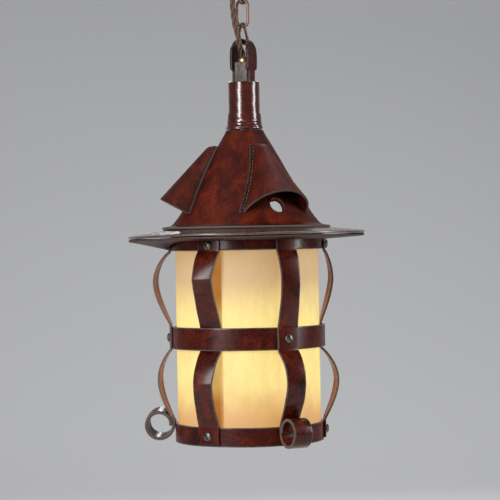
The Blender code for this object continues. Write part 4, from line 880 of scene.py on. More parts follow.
def parchment():
    """Oiled parchment lit from behind: brightest beside the bulb, yellower above it than below.

    The glow is painted light: an emission colour stands in for the bulb's light through the sheet.
    Its lobe fades with the square of the height over the bulb, which wanders with the clouds, and
    the painted glow is dimmer where the sheet lies double and its "tint" is 1; there the paper's own
    tone is darkened too, as painted shade.
    """
    glow = bpy.context.scene.lantern_glow
    tree, shader = new_material("parchment")
    vector = object_place(tree)
    height = add_node(tree, "ShaderNodeSeparateXYZ", {"Vector": vector}).outputs["Z"]
    cloud = noise(tree, vector, 21.0, 4.0, 0.55)
    fibre = noise(tree, stretched(tree, vector, (1.0, 1.0, 0.35)), 150.0, 4.0, 0.6)
    level = -0.5 * GLOW_WANDER - FOOT - BULB_GLOW_HEIGHT
    wander = add_node(tree, "ShaderNodeMath", {0: cloud, 1: GLOW_WANDER, 2: level}, operation="MULTIPLY_ADD")
    rise = math_node(tree, "ADD", height, wander.outputs[0])
    lobe = ramp(tree, times(tree, rise, rise), 0.0, BULB_GLOW_REACH**2, 1.0, 0.0)
    blotch = times(tree, ramp(tree, cloud, 0.30, 0.66, 0.75, 1.12), lobe, clamp=True)
    ends = mixed(tree, ramp(tree, rise, -0.045, 0.045), glow.foot_glow, glow.top_glow)
    tone = mixed(tree, blotch, ends, glow.bulb_glow)
    tone = dimmed(tree, tone, ramp(tree, fibre, 0.30, 0.72, 0.86, 1.07))
    # Painted shade: where the sheet lies double the glow dims and the paper darkens
    lap_shade_mask = times(tree, attribute(tree, "tint"), ramp(tree, cloud, 0.30, 0.62, 0.70, 1.0))
    lap_shade_mask = times(tree, lap_shade_mask, ramp(tree, lobe, 0.35, 1.0, 1.0, 0.45))
    tone = mixed(tree, lap_shade_mask, tone, glow.lap_glow)
    darker = tuple(0.8 * channel for channel in glow.parchment)
    paper = mixed(tree, ramp(tree, fibre, 0.3, 0.7), glow.parchment, darker)
    paper = mixed(tree, times(tree, lap_shade_mask, 0.75), paper, (0.10, 0.045, 0.012))
    # Painted glow: the emission colour stands in for the bulb's light through the sheet, the shade being no
    # lamp
    feed(tree, shader, {"Emission Color": tone, "Emission Strength": 1.0, "Base Color": paper,
                        "Roughness": 0.60, "Specular IOR Level": 0.3})
    relief(tree, shader, math_node(tree, "ADD", fibre, cloud), 0.00010)


def bulb_glass():
    """Frosted glass of the lit bulb, brightest where the filament is."""
    tree, shader = new_material("lit_glass")
    parts = add_node(tree, "ShaderNodeSeparateXYZ", {"Vector": object_place(tree)})
    rise = math_node(tree, "SUBTRACT", parts.outputs["Z"], FOOT + BULB_CENTRE)
    lobe = ramp(tree, times(tree, rise, rise), 0.0, FILAMENT_REACH**2, 1.0, 0.0)
    glow = mixed(tree, lobe, (0.85, 0.50, 0.20), (1.0, 0.86, 0.56))
    feed(tree, shader, {"Emission Color": glow, "Emission Strength": 3.0, "Base Color": (0.92, 0.90, 0.84),
                        "Roughness": 0.35})


def porcelain():
    """Glazed porcelain of the lampholder's core."""
    tree, shader = new_material("porcelain")
    cloud = noise(tree, object_place(tree), 120.0)
    feed(tree, shader, {"Base Color": mixed(tree, cloud, (0.74, 0.72, 0.66), (0.86, 0.85, 0.80)),
                        "Roughness": 0.22})


def braided_cloth():
    """Cotton braid of the flex: the greater of two sets of yarns that cross on the strand's own UV.

    A set is the sine of full turns times 1300 u + 8 v, and the other has -8 v.
    """
    tree, shader = new_material("braided_cloth")
    uv = add_node(tree, "ShaderNodeUVMap", uv_map="UVMap").outputs["UV"]
    parts = add_node(tree, "ShaderNodeSeparateXYZ", {"Vector": uv}).outputs
    yarns = []
    for sign in (1.0, -1.0):
        slope = times(tree, parts["Y"], sign * 8.0)
        phase = math_node(tree, "ADD", slope, times(tree, parts["X"], 1300.0))
        yarns.append(math_node(tree, "SINE", times(tree, phase, 2 * math.pi)))
    weave = math_node(tree, "MAXIMUM", *yarns)
    fuzz = noise(tree, object_place(tree), 700.0, 3.0, 0.7)
    height = math_node(tree, "ADD", ramp(tree, weave, -0.4, 1.0), times(tree, fuzz, 0.5))
    tone = mixed(tree, ramp(tree, height, 0.2, 1.3), (0.010, 0.006, 0.004), (0.165, 0.082, 0.050))
    feed(tree, shader, {"Base Color": tone, "Roughness": 0.85, "Sheen Weight": 0.08})
    relief(tree, shader, height, 0.00018)


def sewing_thread(name, dark, pale):
    """Twisted sewing thread."""
    tree, shader = new_material(name)
    fuzz = noise(tree, object_place(tree), 900.0, 3.0, 0.6)
    tone = mixed(tree, ramp(tree, fuzz, 0.35, 0.65), dark, pale)
    feed(tree, shader, {"Base Color": tone, "Roughness": 0.8})
    relief(tree, shader, fuzz, 0.00005)


def stage_paper(name, tone, reflected):
    """Stage paper: pale to the camera, in mirrors and through glass; other light meets the second tone."""
    tree, shader = new_material(name)
    cloud = noise(tree, object_place(tree), 1.2, 2.0)
    lighter = tuple(min(1.0, 1.03 * channel) for channel in tone)
    rays = add_node(tree, "ShaderNodeLightPath").outputs
    seen = math_node(tree, "MAXIMUM", rays["Is Camera Ray"], rays["Is Glossy Ray"])
    seen = math_node(tree, "MAXIMUM", seen, rays["Is Transmission Ray"])
    feed(tree, shader, {"Base Color": mixed(tree, seen, reflected, mixed(tree, cloud, tone, lighter)),
                        "Roughness": 0.9})


def finishes():
    """All finishes by their plain name, made once."""
    if FINISH_PREFIX + "strap_leather" not in bpy.data.materials:
        make_finishes()
    found = [item for item in bpy.data.materials if item.name.startswith(FINISH_PREFIX)]
    return {item.name.removeprefix(FINISH_PREFIX): item for item in found}


def make_finishes():
    """The node groups, and then every finish."""
    leather_group()
    wear_group()
    tarnish_group()
    settings = bpy.context.scene.lantern_leather
    main = settings.main
    roof = (0.050, 0.0048, 0.0020)
    brim_edge = (0.09, 0.06, 0.05)
    # The straps' second tone is the painted glow of the shade on their inner sides
    leather("strap_leather", main, 0.46, (0.22, 0.38), 0.22, 0.08, tint=settings.glow_spill, grain=0.00006)
    leather("hoop_leather", main, 0.48, (0.24, 0.40), 0.22, 0.08, grain=0.00006)
    leather("loop_leather", main, 0.36, (0.30, 0.44), 0.15, 0.12, edge_tone=(0.034, 0.018, 0.014))
    leather("cone_leather", roof, 0.50, (0.36, 0.55), 0.0, 0.12, 0.35, grain=0.00018)
    leather("hood_leather", roof, 0.52, (0.34, 0.50), 0.0, 0.15, 0.35, tint=(0.010, 0.0045, 0.0035),
            grain=0.00018)
    leather("brim_leather", (0.030, 0.0070, 0.0048), 0.25, (0.20, 0.34), 0.7, 0.5, edge_tone=brim_edge)
    leather("lining_leather", (0.022, 0.0050, 0.0034), 0.20, (0.40, 0.55), 0.0, 0.12, edge_tone=brim_edge)
    leather("neck_leather", (0.052, 0.0055, 0.0026), 0.42, (0.16, 0.24), 0.8, 0.2, grain=0.00005)
    metal("black_iron", (0.15, 0.10, 0.08), (0.040, 0.027, 0.022), 0.35)
    metal("aged_brass", (0.52, 0.36, 0.14), (0.16, 0.10, 0.05), 0.55)
    metal("dull_steel", (0.105, 0.090, 0.080), (0.022, 0.018, 0.016), 0.42)
    wood()
    parchment()
    bulb_glass()
    porcelain()
    braided_cloth()
    sewing_thread("linen_thread", (0.060, 0.036, 0.022), (0.42, 0.32, 0.22))
    sewing_thread("waxed_thread", (0.008, 0.005, 0.004), (0.045, 0.030, 0.022))
    stage_paper("pale_floor", (0.95, 0.95, 0.96), (0.20, 0.20, 0.21))


# Roof


def brim_height(radius):
    """Upper face of the brim: a shallow cone that falls by its slope times the radius."""
    return BRIM_INNER_TOP - BRIM_FALL * (radius - BRIM_INNER)


def brim_warp(radius, height, azimuth):
    """Leather brim out of true: tilt * sin(azimuth - 30) and slow waves, times the radius's share ** 1.5."""
    share = np.clip((radius - BRIM_INNER) / (BRIM_RADIUS - BRIM_INNER), 0.0, 1.0) ** 1.5
    tilt = BRIM_TILT * np.sin(azimuth - math.radians(30))
    return radius, height + share * (tilt + ripple(azimuth, BRIM_WAVES))


def make_brim():
    """Two skins of leather that meet at the rim: a shallow cone, and a lining that sags on the left.

    The lining is lower by sag * exp(-((azimuth - sag azimuth) / spread) ** 2), times its share from
    the rim to its inner edge.
    """
    tilt = math.hypot(1.0, BRIM_FALL)
    mid = BRIM_LEATHER / 2 * tilt
    inner = OVER_TOP + LEATHER / 2 + BRIM_PLAY
    rim = brim_height(BRIM_RADIUS) - BRIM_LEATHER * tilt - BRIM_PLAY - BRIM_LEATHER / 2

    def sagging(radius, height, azimuth):
        radius, height = brim_warp(radius, height, azimuth)
        left = np.exp(-((azimuth - math.radians(SAG_AZIMUTH)) / math.radians(SAG_SPREAD)) ** 2)
        return radius, height - SAG * left * np.clip((BRIM_RADIUS - radius) / (BRIM_RADIUS - inner), 0.0, 1.0)

    skins = {
        "brim_top": ([(BRIM_RADIUS, brim_height(BRIM_RADIUS) - mid), (BRIM_INNER, BRIM_INNER_TOP - mid)],
                     brim_warp, "brim_leather"),
        "brim_under": ([(BRIM_RADIUS - 0.0004, rim), (inner, LINING_TOP - BRIM_LEATHER / 2)],
                       sagging, "lining_leather"),
    }
    for name, (line, warp, finish) in skins.items():
        outline, edge = sheet_outline(spaced(line, FINE_STEP), BRIM_LEATHER, 0.0016, BRIM_ROUNDING)
        outer_edge = np.where(outline[:, 0] < 0.1, UNWORN, edge)
        mesh = grid_mesh(turned(outline, 240, warp), True, True, outer_edge)
        add_piece(name, mesh, finish, [name + "_skin"])


def slope_radius(height):
    """Radius of the cone's straight slope at a height."""
    share = (SHOULDER[1] - height) / (SHOULDER[1] - SLOPE_FOOT[1])
    return SHOULDER[0] + share * (SLOPE_FOOT[0] - SHOULDER[0])


def slope_normal():
    """Outward (radius, height) direction square to the cone's slope."""
    run = SLOPE_FOOT[0] - SHOULDER[0]
    fall = SHOULDER[1] - SLOPE_FOOT[1]
    return np.array((fall, run)) / math.hypot(fall, run)


def cone_line():
    """Outer side of the cone from its flared edge up to its collar."""
    lift = (CONE_LEATHER + GAP) * math.hypot(1.0, BRIM_FALL)
    pitch = (SHOULDER[1] - SLOPE_FOOT[1]) / (SLOPE_FOOT[0] - SHOULDER[0])
    knee = (CONE_KNEE, SLOPE_FOOT[1] - (CONE_KNEE - SLOPE_FOOT[0]) * pitch)
    edge, flare = ((radius, brim_height(radius) + lift) for radius in (CONE_EDGE, CONE_FLARE))
    bend = ((knee[0] + flare[0]) / 2, (knee[1] + flare[1]) / 2 + 0.0006)
    return eased([edge, flare, bend, SLOPE_FOOT, SHOULDER, *COLLAR], FINE_STEP, 0.0090)


def dents(radius, height, azimuth):
    """Hand-worked dents of the cone.

    With a the azimuth and u the share of the height, the radius grows by depth times
    sin(3a + 9u) * sin(5a - 6u + 1.3) + 0.6 * sin(11a + 14u + 0.4) * sin(17u + 2 sin 4a), and this
    fades out at the foot and at the collar.
    """
    up = (height - 0.23) / 0.09
    wave = np.sin(3 * azimuth + 9 * up) * np.sin(5 * azimuth - 6 * up + 1.3)
    wave += 0.6 * np.sin(11 * azimuth + 14 * up + 0.4) * np.sin(17 * up + 2.0 * np.sin(4 * azimuth))
    fade = np.clip((height - 0.232) / 0.02, 0.0, 1.0) * np.clip((0.325 - height) / 0.01, 0.0, 1.0)
    return radius + DENT_DEPTH * wave * fade, height


def make_cone():
    """Moulded cone with a round hole behind each hood."""
    line = cone_line()
    outline, edge = sheet_outline(line + normals_2d(line) * CONE_LEATHER / 2, CONE_LEATHER, 0.0013)
    mesh = grid_mesh(turned(outline, 288, dents), True, True, edge)
    cone = add_piece("cone", mesh, "cone_leather", ["roof_cone"])
    centre = np.array((slope_radius(VENT_HEIGHT), VENT_HEIGHT))
    radius, height = np.linspace(*(centre + np.outer((-VENT_REACH, VENT_REACH), slope_normal())), 3).T
    path = np.stack([radius, 0.0 * radius, height], axis=-1)
    for azimuth in VENT_AZIMUTHS:
        cut_piece(cone, grid_mesh(swept_tube(placed(path, azimuth), VENT_RADIUS, 48), False, True))


def hood_surface(share, column, azimuth):
    """Middle surface of a hood in (radius, across, height) by its share from head to foot.

    column runs from -1 to 1 over the arch and past them over the flanges. The arch's height over
    the cone is cos(column * 90 degrees) to the power of the fullness, between the seat on the cone
    and the ridge line. Over the head's first few percent it grows from a quarter to the whole of
    that, as a quarter round.
    """
    normal = slope_normal()
    height = HOOD_HEAD + share * (HOOD_FOOT - HOOD_HEAD)
    half_angle = np.radians(HOOD_HEAD_ANGLE + share * (HOOD_FOOT_ANGLE - HOOD_HEAD_ANGLE))
    seat = slope_radius(height) + HOOD_OFFSET * normal[0]
    seat_height = height + HOOD_OFFSET * normal[1]
    inside = np.clip(column, -1.0, 1.0)
    rise = np.cos(inside * np.pi / 2).clip(0.0) ** HOOD_FULLNESS
    to_round = 1.0 - np.clip(share / HOOD_HEAD_ROUND, 0.0, 1.0)
    rise = rise * (0.25 + 0.75 * np.sqrt(1.0 - to_round**2))
    ridge_radius, ridge_height = (
        head + share * (foot - head) for head, foot in zip(HOOD_HEAD_RIDGE, HOOD_FOOT_RIDGES[azimuth]))
    x = seat * np.cos(half_angle)
    y = seat * np.sin(half_angle) * np.sin(inside * np.pi / 2)
    arch = np.stack([x + (ridge_radius - x) * rise, y,
                     seat_height + (ridge_height - seat_height) * rise], axis=-1)
    past = np.clip(np.abs(column) - 1.0, 0.0, None)
    angle = half_angle + past * HOOD_FLANGE / seat
    flat = np.stack([seat * np.cos(angle), np.sign(column) * seat * np.sin(angle),
                     seat_height + 0.0 * angle], axis=-1)
    return np.where((past > 0)[..., None], flat, arch)


def placed(points, azimuth):
    """Turns local points, whose X points outward, to the azimuth, and sets them at their height."""
    angle = math.radians(azimuth)
    out = np.array((math.sin(angle), -math.cos(angle), 0.0))
    side = np.array((math.cos(angle), math.sin(angle), 0.0))
    up = np.array((0.0, 0.0, 1.0))
    return points[..., :1] * out + points[..., 1:2] * side + (points[..., 2:3] + FOOT) * up


def thick_sheet(points, thickness, edge):
    """Both faces of an open grid as one looped grid: the upper face, then the lower face on the way back.

    Each is half the thickness off, along the cross product of the grid's two directions.
    """
    normal = unit(np.cross(np.gradient(points, axis=0), np.gradient(points, axis=1)))
    upper = points + normal * thickness / 2
    lower = points - normal * thickness / 2
    return np.concatenate([upper, lower[:, ::-1]], axis=1), np.concatenate([edge, edge[:, ::-1]], axis=1)


def close_ends(points, edge):
    """Adds a first and last row at each end's middle line, which closes a looped sheet."""
    columns = points.shape[1]
    half = columns // 2
    rows = []
    for end in (0, -1):
        pair = (points[end, :half] + points[end, half:][::-1]) / 2
        rows.append(np.concatenate([pair, pair[::-1]])[None])
    return np.concatenate([rows[0], points, rows[1]]), np.concatenate([0 * edge[:1], edge, 0 * edge[-1:]])


def make_hoods():
    """Arched hoods with flanges, and a row of stitches along each flange."""
    share = np.linspace(0.0, 1.0, 46)[:, None]
    over = np.sin(np.linspace(-1.0, 1.0, 61) * np.pi / 2)
    past = np.linspace(1.02, 2.0, 7)
    column = np.concatenate([-past[::-1], over, past])[None, :]
    flange = np.concatenate([np.abs(column) > 1.0, np.abs(column[:, ::-1]) > 1.0], axis=1)
    for number, azimuth in enumerate(VENT_AZIMUTHS, 1):
        local = hood_surface(share + 0.0 * column, column + 0.0 * share, azimuth)
        span = np.linalg.norm(np.diff(local, axis=1), axis=-1).cumsum(axis=1)
        run = np.concatenate([np.zeros((len(share), 1)), span], axis=1)
        to_sides = np.minimum(run, run[:, -1:] - run)
        to_ends = np.minimum((1.0 - share) * HOOD_LENGTH, share * HOOD_LENGTH)
        solid, edge = close_ends(*thick_sheet(local, HOOD_LEATHER, np.minimum(to_sides, to_ends)))
        mesh = grid_mesh(placed(solid, azimuth), False, True, edge, tint=flange)
        add_piece(f"hood_{number}", mesh, "hood_leather", [f"vent_hood_{number}"],
                  crease=60.0)
        make_hood_stitches(number, azimuth)


def make_hood_stitches(number, azimuth):
    """Short thread loops along the middle of both flanges; each is half an ellipse on the leather."""
    normal = slope_normal()
    lifted = np.array((normal[0], 0.0, normal[1]))
    turn = np.linspace(0.0, np.pi, 7)[:, None]
    for side, finish in ((-1.0, "linen_thread"), (1.0, "waxed_thread")):
        meshes = []
        for start in np.linspace(0.05, 0.95, HOOD_STITCHES):
            shares = np.array((start - 0.010, start + 0.010))
            ends = hood_surface(shares, np.full(2, side * STITCH_COLUMN), azimuth)
            path = ends[0] + (ends[1] - ends[0]) * (1 - np.cos(turn)) / 2
            path = path + lifted * (HOOD_LEATHER / 2 - 0.0001 + STITCH_RISE * np.sin(turn))
            meshes.append(grid_mesh(placed(swept_tube(path, STITCH_RADIUS, 6), azimuth), False, True))
        add_piece(f"{finish}_{number}", joined(meshes), finish, [])


# Neck and loop


def make_sleeve():
    """Leather tube with hand-rubbed creases near its foot.

    The radius changes by depth * sin(2200 h + 1.6 sin 2a + 0.8 sin(5a + 1)) * exp(-(d / spread) ** 2),
    with h the height, a the azimuth and d the distance from the middle crease, and by slow waves.
    """
    outer = SLEEVE_RADIUS - SLEEVE_LEATHER / 2
    line = spaced([(outer, SLEEVE_FOOT + GAP), (outer, SLEEVE_TOP)], 0.0004)
    outline, edge = sheet_outline(line, SLEEVE_LEATHER, 0.0006, 0.0009)
    inner = outline[:, 0] < outer

    def creases(radius, height, azimuth):
        low = np.exp(-(((height - CREASE_HEIGHT) / CREASE_SPREAD) ** 2))
        lines = np.sin(height * 2200 + 1.6 * np.sin(2 * azimuth) + 0.8 * np.sin(5 * azimuth + 1.0))
        slow = np.sin(height * 420 + 2.0 * azimuth) * np.sin(3 * azimuth + 0.5)
        change = CREASE_DEPTH * lines * low + 0.00012 * slow
        return radius + np.where(inner[None, :], 0.0, np.minimum(change, 0.0002)), height

    mesh = grid_mesh(turned(outline, 144, creases), True, True, edge)
    add_piece("sleeve", mesh, "neck_leather", ["neck_sleeve"])


def make_cuff():
    """Flared and wrinkled cuff round the foot of the neck.

    The outer side changes by fold * sin(34u + 1.8 sin(2a + 0.6) + 0.9 sin 5a) * (1.15 - u), with u the
    share of the height and a the azimuth, and by slow waves.
    """
    inside = SLEEVE_RADIUS + GAP
    thin = inside + 0.0006
    line = [(inside + 0.0010, CUFF_FOOT), (CUFF_RADIUS - 0.0003, CUFF_FOOT + 0.0002),
            (CUFF_RADIUS, CUFF_FOOT + 0.0024), (CUFF_RADIUS - 0.0010, CUFF_FOOT + 0.0055),
            (thin + 0.0005, CUFF_FOOT + 0.0105), (thin, CUFF_TOP)]
    outline = np.vstack([eased(line, 0.0004, 0.0024), [(inside, CUFF_TOP - 0.0003), (inside, CUFF_FOOT)]])

    def wrinkled(radius, height, azimuth):
        share = np.clip((radius - inside) / 0.0008, 0.0, 1.0)
        up = (height - CUFF_FOOT) / (CUFF_TOP - CUFF_FOOT)
        folds = np.sin(34 * up + 1.8 * np.sin(2 * azimuth + 0.6) + 0.9 * np.sin(5 * azimuth))
        slow = ripple(azimuth + 2.0 * up, CUFF_WAVES)
        return radius + share * (CUFF_FOLD * folds * (1.15 - up) + slow * (1.1 - up)), height

    mesh = grid_mesh(turned(outline, 180, wrinkled), True, True, UNWORN)
    add_piece("cuff", mesh, "neck_leather", ["neck_bead"])


def loop_line():
    """Centreline of the loop in the XZ plane: up one leg, over the top and down the other."""
    arc_height = LOOP_TOP - LOOP_LEATHER / 2 - LOOP_RADIUS
    arch = arc_2d((0.0, arc_height), LOOP_RADIUS, 0, 180, 61)
    leg = np.linspace(LOOP_FOOT, arc_height, 80)[:-1]
    share = np.clip((leg - LOOP_SHOULDER) / (arc_height - LOOP_SHOULDER), 0.0, 1.0)
    right = np.stack([LOOP_RADIUS + LOOP_BULGE * np.sin(np.pi * share), leg], axis=-1)
    return np.vstack([right, arch, right[::-1] * (-1.0, 1.0)])


def make_loop():
    """Thick strap over the delta link: narrow legs inside the neck, wide shoulders, a narrower top.

    The widths go over into each other by 3 s ** 2 - 2 s ** 3 of the share s of a short rise.
    """
    _, places, normal, inset, scale = row_plan(loop_line(), 0.0007, LOOP_ROUNDING)
    height = places[:, 1]
    shoulder = smooth_step(np.clip((height - LOOP_SHOULDER + 0.0006) / 0.0014, 0.0, 1.0))
    taper = smooth_step(np.clip((height - TAPER_HEIGHT) / TAPER_RUN, 0.0, 1.0))
    half_width = LEG_HALF_WIDTH + SHOULDER_SPREAD * shoulder - TOP_TAPER * taper
    across, outward, edge = bar_offsets(bar_section(14), half_width, LOOP_LEATHER / 2, LOOP_ROUNDING, inset,
                                        scale)
    points = np.stack([places[:, :1] - normal[:, :1] * outward, across,
                       height[:, None] - normal[:, 1:] * outward + FOOT], axis=-1)
    mesh = grid_mesh(points, False, True, edge)
    add_piece("loop", mesh, "loop_leather", ["hanging_loop"])


def bush_outline(flange_foot, depth, upward=1.0):
    """Flanged tube; upward is -1 for a bush whose flange hangs down."""
    top, radius = BUSH_FLANGE_HEIGHT, BUSH_FLANGE_RADIUS
    points = [(BUSH_BORE, top), (radius - 0.0008, top), (radius - 0.0002, top - 0.0002),
              (radius, top - 0.0008), (radius, 0.0003), (radius - 0.0003, 0.0), (BUSH_RADIUS, 0.0),
              (BUSH_RADIUS, -depth), (BUSH_BORE, -depth)]
    return np.array(points) * (1.0, upward) + (0.0, flange_foot)


def make_bushes():
    """Brass bushes that the flex goes through, in the tenon and in the ceiling cup."""
    lower = turned(bush_outline(TENON_TOP + GAP, CORD_BUSH_DEPTH), 48)
    upper = turned(bush_outline(CUP_FOOT - GAP, CANOPY_BUSH_DEPTH, -1.0), 48) + np.array((*FLEX_ENTRY, 0.0))
    for node, points, body in (("cord_bush", lower, "lantern"), ("canopy_bush", upper, "ceiling_fitting")):
        mesh = grid_mesh(points, True, True)
        add_piece(node + "_brass", mesh, "aged_brass", [node], body, 35.0)


# Body


def make_rings():
    """Leather hoops: a bar bent round the axis, slightly out of round and out of level.

    The mid band swells by exp(-(1 - cos 3a) / 0.1) of its swell over the straps that pass under it,
    with a the azimuth.
    """
    rings = {"top_ring": TOP_RING, "mid_band": MID_BAND, "bottom_ring": BOTTOM_RING}
    for number, (node, (radius, foot, height)) in enumerate(rings.items()):
        across, outward, edge = bar_offsets(bar_section(18), height / 2, LEATHER / 2, ROUNDING, np.zeros(1),
                                            np.ones(1))
        outline = np.stack([radius - LEATHER / 2 + outward[0], foot + height / 2 + across[0]], axis=-1)

        def uneven(r, h, azimuth, phase=1.7 * number, swell=BAND_SWELL * (node == "mid_band")):
            lift = ripple(azimuth, ((2, 0.00010, phase), (7, 0.00008, 2 * phase)))
            over_straps = np.exp(-((1.0 - np.cos(3 * azimuth)) / 0.10)) * swell
            sway = ripple(azimuth, ((5, 0.00007, phase), (11, 0.00005, phase + 1.0)))
            return r + over_straps + sway, h + lift

        mesh = grid_mesh(turned(outline, 288, uneven), True, True, edge[0][None, :])
        add_piece(node + "_leather", mesh, "hoop_leather", [node])


def panel_line(start, end, bulge, peak, knuckle):
    """Strap between two bands: it bows out by bulge * sin(pi * share ** power), widest at the peak's share.

    knuckle mixes in two straight flights that meet at the peak.
    """
    share = np.linspace(0.0, 1.0, 60)
    power = math.log(0.5) / math.log(peak)
    bow = np.sin(np.pi * share**power)
    flights = np.minimum(share / peak, (1.0 - share) / (1.0 - peak))
    out = bulge * ((1.0 - knuckle) * bow + knuckle * flights)
    return np.stack([start[0] + share * (end[0] - start[0]) + out,
                     start[1] + share * (end[1] - start[1])], axis=-1)


def strap_line(middle, bulges, azimuth):
    """Centreline (radius, height) from above the top ring down to the bottom ring's upper edge."""
    knuckle = KNUCKLES[azimuth]
    band_top = MID_BAND[1] + MID_BAND[2] + BAND_MARGIN
    band_foot = MID_BAND[1] - BAND_MARGIN
    upper = ((OVER_TOP, TOP_RING[1] - BAND_MARGIN), (middle, band_top))
    lower = ((middle, band_foot), (OVER_BOTTOM, BOTTOM_RING[2] + BAND_MARGIN))
    return [np.array([(OVER_TOP, STRAP_TOP)]), panel_line(*upper, bulges[0], UPPER_PEAKS[azimuth], knuckle),
            panel_line(*lower, bulges[1], LOWER_PEAK, knuckle / 3)]


def curl_line(azimuth):
    """Spiral from the ring's side down, outward, up and over, whose radius shrinks by the share ** 3."""
    share = np.linspace(0.0, 1.0, 90)
    radius = CURL_OUTER + share**3 * (CURL_INNER - CURL_OUTER)
    angle = np.radians(180 + share * 365)
    centre = (OVER_BOTTOM + CURL_OUTER, CURL_HEIGHTS[azimuth])
    return np.stack([centre[0] + radius * np.cos(angle), centre[1] + radius * np.sin(angle)], axis=-1)


def panel_waves(height):
    """Half a sine wave over the upper panel and another over the lower: 0 at the hoops, 1 between them."""
    band_top = MID_BAND[1] + MID_BAND[2]
    upper = np.clip((height - band_top) / (TOP_RING[1] - band_top), 0.0, 1.0)
    lower = np.clip((height - BOTTOM_RING[2]) / (MID_BAND[1] - BOTTOM_RING[2]), 0.0, 1.0)
    return np.sin(np.pi * upper), np.sin(np.pi * lower)


def strap_lean(height, azimuth):
    """How far a strap and its screws stand to the right of their azimuth: only the front strap leans."""
    return FRONT_LEAN * (height - LEAN_HEIGHT) if azimuth == 0 else 0.0 * height


def strap_flare(height, azimuth):
    """Share by which a strap widens towards the hoops; a curled strap doesn't flare at its foot."""
    upper, lower = panel_waves(height)
    foot = np.clip((height - 0.045) / 0.030, 0.0, 1.0) if azimuth in STRAPS_B else 1.0
    return FLARES[azimuth] * (1.0 - upper - lower).clip(0.0) * foot


def strap_mesh(line, azimuth):
    """Strap along a line in the lantern's radial plane, bent across to the hoops' round.

    A point lies outward along the line's normal, and across it as arc length round the axis. The
    width wanders by two sines of the length and flares towards the hoops. The section turns by its
    twists over the panels, where its inner side gets the painted orange glow of the lit shade, and the
    front strap leans. A curl is thicker, and a point in it moves by two slopes times its place across.
    """
    settings = bpy.context.scene.lantern_leather
    line = eased(line, STRAP_STEP, 0.0042)
    step = 1.25 * len(line) * STRAP_STEP / settings.rows
    at, places, normal, inset, scale = row_plan(line, step, ROUNDING)
    wander = 1.0 + 0.012 * np.sin(at * 95 + azimuth) + 0.008 * np.sin(at * 260 + 2 * azimuth)
    half_width = settings.strap_width / 2 * wander * (1.0 + strap_flare(places[:, 1], azimuth))
    to_curl = (at - at[-1]) / (2 * np.pi * CURL_OUTER)
    in_curl = np.clip(to_curl * 6 + 6.2, 0.0, 1.0) * (azimuth in STRAPS_B)
    curled = in_curl > 0.0
    thick = LEATHER / 2 + CURL_SWELL * in_curl
    across, outward, edge = bar_offsets(bar_section(16), half_width, thick, ROUNDING, inset, scale)
    edge = np.minimum(edge, np.minimum(at, at[-1] - at)[:, None])
    twist = (np.radians(TWISTS[azimuth]) @ panel_waves(places[:, 1]) * ~curled)[:, None]
    # Painted light: where a twist turns the inner side out, it takes the shade's glow as its tint
    glow_lit = (outward < 0.0) & (np.abs(twist) > np.radians(0.3))
    edge = edge + HOOP_BLEND * ((twist == 0.0) & ~curled[:, None])
    across, outward = (across * np.cos(twist) + outward * np.sin(twist),
                       outward * np.cos(twist) - across * np.sin(twist))
    across = across + strap_lean(places[:, 1:], azimuth)
    turn = math.radians(azimuth) + across / np.clip(places[:, :1], 0.05, None)
    lean = np.array(CURL_LEANS.get(azimuth, (0.0, 0.0))) * in_curl[:, None]
    radius = places[:, :1] + normal[:, :1] * outward + lean[:, 1:] * across
    height = places[:, 1:] + normal[:, 1:] * outward + lean[:, :1] * across
    points = np.stack([radius * np.sin(turn), -radius * np.cos(turn), height + FOOT], axis=-1)
    return grid_mesh(points, False, True, edge, tint=glow_lit)


def make_straps():
    """Straps A end under their low screws, and straps B in a curl."""
    kinds = (("screwed_strap", "strap_a", UNDER_MID, STRAPS_A),
             ("curled_strap", "strap_b", OVER_MID, STRAPS_B))
    for name, node, middle, straps in kinds:
        for number, (azimuth, bulges) in enumerate(straps.items(), 1):
            end = curl_line(azimuth) if azimuth in STRAPS_B else [(OVER_BOTTOM, STRAP_FOOT)]
            mesh = strap_mesh(np.vstack([*strap_line(middle, bulges, azimuth), end]), azimuth)
            add_piece(f"{name}_{number}", mesh, "strap_leather", [f"{node}_{number}"])


def head_mesh(radius, height, slot_width):
    """Slotted round head on the XY plane, as a solid between a domed and a flat face.

    Rows are lines y = const parallel to the slot, and a column's x is its share of the chord. The
    dome is rim + (height - rim) * sqrt(1 - (r / radius) ** 2) ** 1.2, and the slot's floor is at 0.3
    of the height.
    """
    wall = slot_width / 2
    rows = wall + np.linspace(0.0, 1.0, 15) ** 0.7 * (radius - wall)
    rows = np.concatenate([-rows[::-1], [-wall * 0.9, 0.0, wall * 0.9], rows])
    chord = np.sqrt(np.clip(radius**2 - rows**2, 0.0, None))[:, None]
    x = chord * np.sin(np.linspace(-1.0, 1.0, 33) * np.pi / 2)[None, :]
    y = rows[:, None] + 0.0 * x
    rim = 0.25 * height
    dome = rim + (height - rim) * np.sqrt(np.clip(1.0 - (x**2 + y**2) / radius**2, 0.0, 1.0)) ** 1.2
    top = np.where(np.abs(y) < wall * 0.95, np.minimum(dome, 0.30 * height), dome)
    upper = np.stack([x, y, top], axis=-1)
    lower = np.stack([x, y, 0.0 * top], axis=-1)
    return grid_mesh(np.concatenate([upper, lower[:, ::-1]], axis=1), False, True)


def shank_mesh(reach):
    """Shank with a round nut at its end: its outline turned round Z."""
    outline = np.array([(0.0, -reach), (NUT_RADIUS, -reach), (NUT_RADIUS, NUT_HEIGHT - reach),
                        (SHANK_RADIUS, NUT_HEIGHT - reach), (SHANK_RADIUS, GAP), (0.0, GAP)])
    angle = np.linspace(0, 2 * np.pi, 25)[:-1][:, None]
    radius, height = outline.T
    points = np.stack([radius * np.cos(angle), radius * np.sin(angle), height + 0.0 * angle], axis=-1)
    return grid_mesh(points, True, False)


